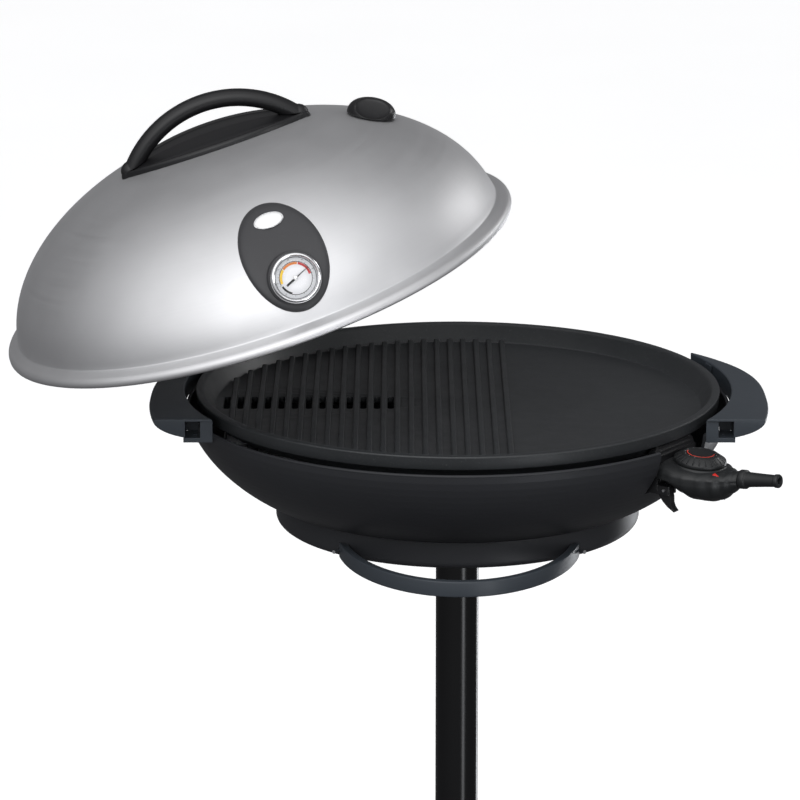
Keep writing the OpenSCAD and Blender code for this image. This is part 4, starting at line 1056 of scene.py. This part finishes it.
def on_dome(sizes, to_lid, x, z, thick):
    """The point of the dome, raised by thick, that lies behind (x, z) of the gauge's face."""
    start, way = to_lid @ Vector((x * MM, 0, z * MM)), to_lid.to_3x3() @ Vector((0, 1, 0))
    ra, rb = sizes.dome_radius + thick * MM, sizes.dome_height + thick * MM
    scale = Vector((1 / ra, 1 / ra, 1 / rb))
    p, d = start * scale, way * scale
    a, b, c = d.dot(d), 2 * p.dot(d), p.dot(p) - 1
    s = (-b - math.sqrt(max(0.0, b * b - 4 * a * c))) / (2 * a)
    return (start + way * s) / MM


class GRILL_OT_controller(Piece, bpy.types.Operator):
    """Controller with its moulded shell, knob, pilot lamp and bend relief"""
    bl_idname = "grill.controller"
    bl_label = "Controller"

    def build(self, sizes):
        self.shell()
        self.knob(sizes)
        self.relief()

    @staticmethod
    def shell():
        """Lofted body, boxy at the seam and round at the tail, with a groove along its split."""
        seam, long, split = PLATE_R - 1, 64, -38.0

        def spread(table, x):
            for (x0, y0), (x1, y1) in zip(table, table[1:]):
                if x <= x1:
                    t = (x - x0) / (x1 - x0)
                    return y0 + (y1 - y0) * t * t * (3 - 2 * t)
            return table[-1][1]

        wide = [(0, 31.4), (6, 32.6), (14, 33.0), (24, 32.2), (36, 28.0), (46, 21.5), (54, 14.5),
                (60, 9.8), (64, 8.2)]
        roof = [(0, -25.5), (20, -27.6), (40, -29.8), (46, -31.0), (52, -31.3), (58, -30.2),
                (64, -28.6)]
        keel = [(0, -41.5), (8, -43.4), (14, -48.0), (20, -53.8), (29, -58.2), (42, -58.4), (50, -55.5),
                (57, -49.5), (64, -44.2)]
        boxy = [(0, 3.4), (30, 2.9), (46, 2.4), (64, 2.0)]
        keel_boxy, groove = 2.2, 0.5

        def place(u, v):
            x = long * v
            c, s = math.cos(TURN * u), math.sin(TURN * u)
            power = 2 / (spread(boxy, x) if s > 0 else keel_boxy)
            rise = (spread(roof, x) if s > 0 else spread(keel, x)) - split
            y = math.copysign(spread(wide, x) * abs(c) ** power, c)
            if abs(s) < 0.02:
                y -= math.copysign(groove, c)
            return (seam + x, y, split + rise * abs(s) ** power)

        body = close_ends(tidy(web("control_shell", 56, 64, place), 0.01))
        with Edit(body, "FACE") as edit:
            edit.pick(lambda f: abs(f.normal.x) > 0.999 and len(f.verts) > 8)
            bpy.ops.mesh.inset(thickness=0.8 * MM, depth=0.4 * MM)
        turret = lathe("turret", [(0, -3.4), (23.3, -5.5), (23.3, -1.2), (22.9, -0.4), (22.2, 0),
                                  (0, 0)], steps=96)
        put(turret, dial_place())
        body = join("control_shell", [put(body, CONTROL_FRAME), turret])
        keep(body, "controller", "controller_grey", "controller_top",
             "controller_bottom", sharp=38)
        lens = slab("pilot_wedge", [(-2.7, -0.8), (-2.1, -1.8), (2.9, -0.3), (2.9, 0.3), (-1.8, 2.0),
                                    (-2.6, 1.4)], -2.0, 0.35)
        round_edges(lens, 0.35, sharp=40, segments=3)
        keep(lens, "controller", "pilot_red", "pilot_lens",
             at=CONTROL_FRAME @ shift(seam + 47.5, -13.5, -32.3) @ turn(12, "Y") @ turn(18, "X"))

    @staticmethod
    def knob(sizes):
        """Knob with a ribbed bevel round a recessed disc, and the disc's printed scale."""
        r, h = sizes.knob_radius / MM, sizes.knob_height / MM
        knob = lathe("dial_knob", [
            (0, 0.4), (r - 0.8, 0.4), (r - 0.2, 0.8), (r, 1.4), (r, 3.0), (r - 0.4, 3.9),
            (r - 6.0, h - 0.9), (r - 7.0, h - 0.2), (r - 7.6, h), (12.8, h), (12.4, h - 0.3),
            (12.3, h - 1.4), (0, h - 1.4)], steps=180)
        grooves = []
        for k in range(24):
            groove = block("groove", (-0.45, -0.55, -0.8), (6.5, 0.55, 3))
            around = Matrix.Rotation(TURN * k / 24, 4, "Z")
            grooves.append(put(groove, around @ shift(r - 5.6, 0, h - 0.9) @ turn(36, "Y")))
        cut(knob, join("grooves", grooves))
        round_edges(knob, 0.18, sharp=40, segments=2)
        keep(knob, "dial", "black_plastic", "thermostat_knob", finish="controller plastic", sharp=35,
             at=dial_place())
        disc = lathe("dial_disc", [(0, h - 1.4), (12.1, h - 1.4), (12.1, h - 0.1), (11.8, h + 0.2),
                                   (11.2, h + 0.3), (10.6, h + 0.2), (0, h + 0.15)], steps=96)
        keep(disc, "dial", "black_plastic", "knob_disc", sharp=35, at=dial_place())
        arcs, track = [], 11.4
        for start, stop, wide in ((-165, 12, 0.45), (18, 30, 0.3)):
            arcs.append(printed_arc("arc", track - wide, track + wide, 0.12, start, stop, 48,
                                    dial_place() @ shift(0, 0, h + 0.28)))
        keep(join("dial_arc", arcs), "dial", "pilot_red", finish="print scarlet")
        dots = []
        for k in range(11):
            dot = add("cylinder", "dot", vertices=12, radius=0.22 * MM, depth=0.12 * MM)
            around = Matrix.Rotation(TURN * k / 14 + 0.4, 4, "Z")
            dots.append(put(dot, dial_place() @ around @ shift(13.4, 0, h + 0.04)))
        keep(join("dial_marks", dots), "dial", "badge_white", finish="print white")

    @staticmethod
    def relief():
        """Tapered bend relief with an end bead on the tail, its bore open for the lead."""
        r, long = 7.0, 39.0
        section = [(3.0, -4), (4.4, -4), (4.4, 1.2), (r + 0.9, 1.2), (r + 1.2, 1.7), (r + 1.2, 6.2),
                   (r + 0.7, 7.0), (r - 0.3, 7.5), (r - 0.5, 8.4), (r - 1.4, 24.0),
                   (r - 1.9, long - 4.0), (r - 1.2, long - 3.4), (r - 1.1, long - 0.9),
                   (r - 1.6, long), (3.2, long), (3.0, long - 0.5)]
        sleeve = lathe("relief_sleeve", section, steps=72, closed=True)
        keep(sleeve, "controller", "black_plastic", "bend_relief_sleeve", finish="controller plastic",
             sharp=35, at=CONTROL_FRAME @ shift(PLATE_R + 62.5, 0, -36) @ turn(-7, "Y") @ turn(90, "Y"))


def dial_place():
    """Frame of the temperature dial, Z along its axis."""
    spin = Vector(JOINTS["dial_turn"]["axis"]).normalized()
    side = Vector((PULL[0], PULL[1], 0)).cross(spin).normalized()
    out = -side.cross(spin).normalized()
    axes = Matrix((out, spin.cross(out), spin)).transposed().to_4x4()
    low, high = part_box("knob_disc")
    return Matrix.Translation((low + high) / 2 - spin * 7.7 * MM) @ axes


class GRILL_OT_stage(Piece, bpy.types.Operator):
    """Pale floor, soft studio light and the camera"""
    bl_idname = "grill.stage"
    bl_label = "Stage"

    def build(self, _):
        scene = bpy.context.scene
        floor = add("plane", "floor", size=60)
        n, shader, place = material("pale floor")
        cloudy = n.noise(place, 3.0, 4.0)
        n.wire(shader, Base_Color=n.blend(cloudy, (0.90, 0.90, 0.90, 1), (0.94, 0.94, 0.94, 1)),
               Roughness=0.9, Specular_IOR_Level=0.1, Emission_Color=(1.0, 1.0, 1.0, 1.0),
               Emission_Strength=0.3)
        floor.data.materials.append(FINISHES["pale floor"])
        floor.visible_diffuse = floor.visible_glossy = False
        world = bpy.data.worlds.new("Studio")
        scene.world = world
        world.use_nodes = True
        n = Nodes(world.node_tree)
        x, y, z = n.split(n.add("ShaderNodeTexCoord").outputs["Generated"])
        # bright in front, dark behind and below, with an upright strip that the post mirrors
        around = n.blend(n.ramp(y, -0.95, 0.45), (0.80, 0.81, 0.83, 1), (0.13, 0.13, 0.135, 1))
        glow = n.blend(n.ramp(z, -0.12, -0.02), (17.0, 17.4, 18.0, 1), around)
        strip = n.blend(n.ramp(x, 0.56, 0.66), glow, around)
        around = n.blend(n.ramp(x, 0.42, 0.52), around, strip)
        n.set(world.node_tree.nodes["Background"], 0,
              n.blend(n.ramp(z, -0.55, 0.15), (0.10, 0.10, 0.105, 1), around))
        for name, spot, aim, size, power in (
                ("key", (-0.6, -3.2, 3.4), (-0.1, 0, 0.85), 3.6, 44),
                ("side", (2.8, -1.6, 1.6), (0.1, 0, 0.8), 0.7, 7),
                ("rim", (2.4, 1.6, 2.2), (0.1, 0, 0.8), 1.0, 14)):
            bpy.ops.object.light_add(type="AREA", location=spot)
            lamp = bpy.context.object
            lamp.name = f"{name}_light"
            lamp.data.energy, lamp.data.size = power, size
            lamp.rotation_euler = (Vector(aim) - Vector(spot)).to_track_quat("-Z", "Y").to_euler()
        bpy.ops.object.light_add(type="SUN", location=(0, 0, 4),
                                 rotation=(math.radians(35), 0, math.radians(-20)))
        sun = bpy.context.object
        sun.name = "sky_light"
        sun.data.energy, sun.data.angle = 1.4, math.radians(100)
        bpy.ops.object.camera_add(location=(-0.05084, -3.86336, 1.83663),
                                  rotation=(math.radians(74.794), 0, 0))
        camera = bpy.context.object
        camera.name = "view"
        camera.data.lens, camera.data.sensor_width = 204.716, 36
        camera.data.clip_end = 100
        scene.camera = camera
        scene.view_settings.view_transform = "Standard"


class GRILL_PT_pieces(bpy.types.Panel):
    """Sizes, colours and the pieces of the grill"""
    bl_label = "Pedestal Grill"
    bl_space_type = "VIEW_3D"
    bl_region_type = "UI"
    bl_category = "Grill"

    def draw(self, context):
        layout = self.layout
        for owner in (context.scene.grill_sizes, context.scene.grill_colours):
            box = layout.box()
            for key in owner.bl_rna.properties.keys():
                if key not in ("rna_type", "name"):
                    box.prop(owner, key)
        for piece in PIECES:
            layout.operator(piece.bl_idname)


PIECES = (GRILL_OT_stage, GRILL_OT_finishes, GRILL_OT_cooking_plate, GRILL_OT_bowl_edge,
          GRILL_OT_side_grips, GRILL_OT_front_band, GRILL_OT_dome, GRILL_OT_lid_grip, GRILL_OT_vent,
          GRILL_OT_gauge, GRILL_OT_controller)
CLASSES = (GrillSizes, GrillColours) + PIECES + (GRILL_PT_pieces,)


def register():
    for cls in CLASSES:
        bpy.utils.register_class(cls)
    bpy.types.Scene.grill_sizes = bpy.props.PointerProperty(type=GrillSizes)
    bpy.types.Scene.grill_colours = bpy.props.PointerProperty(type=GrillColours)


def unregister():
    del bpy.types.Scene.grill_sizes
    del bpy.types.Scene.grill_colours
    for cls in reversed(CLASSES):
        bpy.utils.unregister_class(cls)


def main():
    register()
    for piece in PIECES:
        family, name = piece.bl_idname.split(".")
        getattr(getattr(bpy.ops, family), name)()


if __name__ == "__main__":
    main()
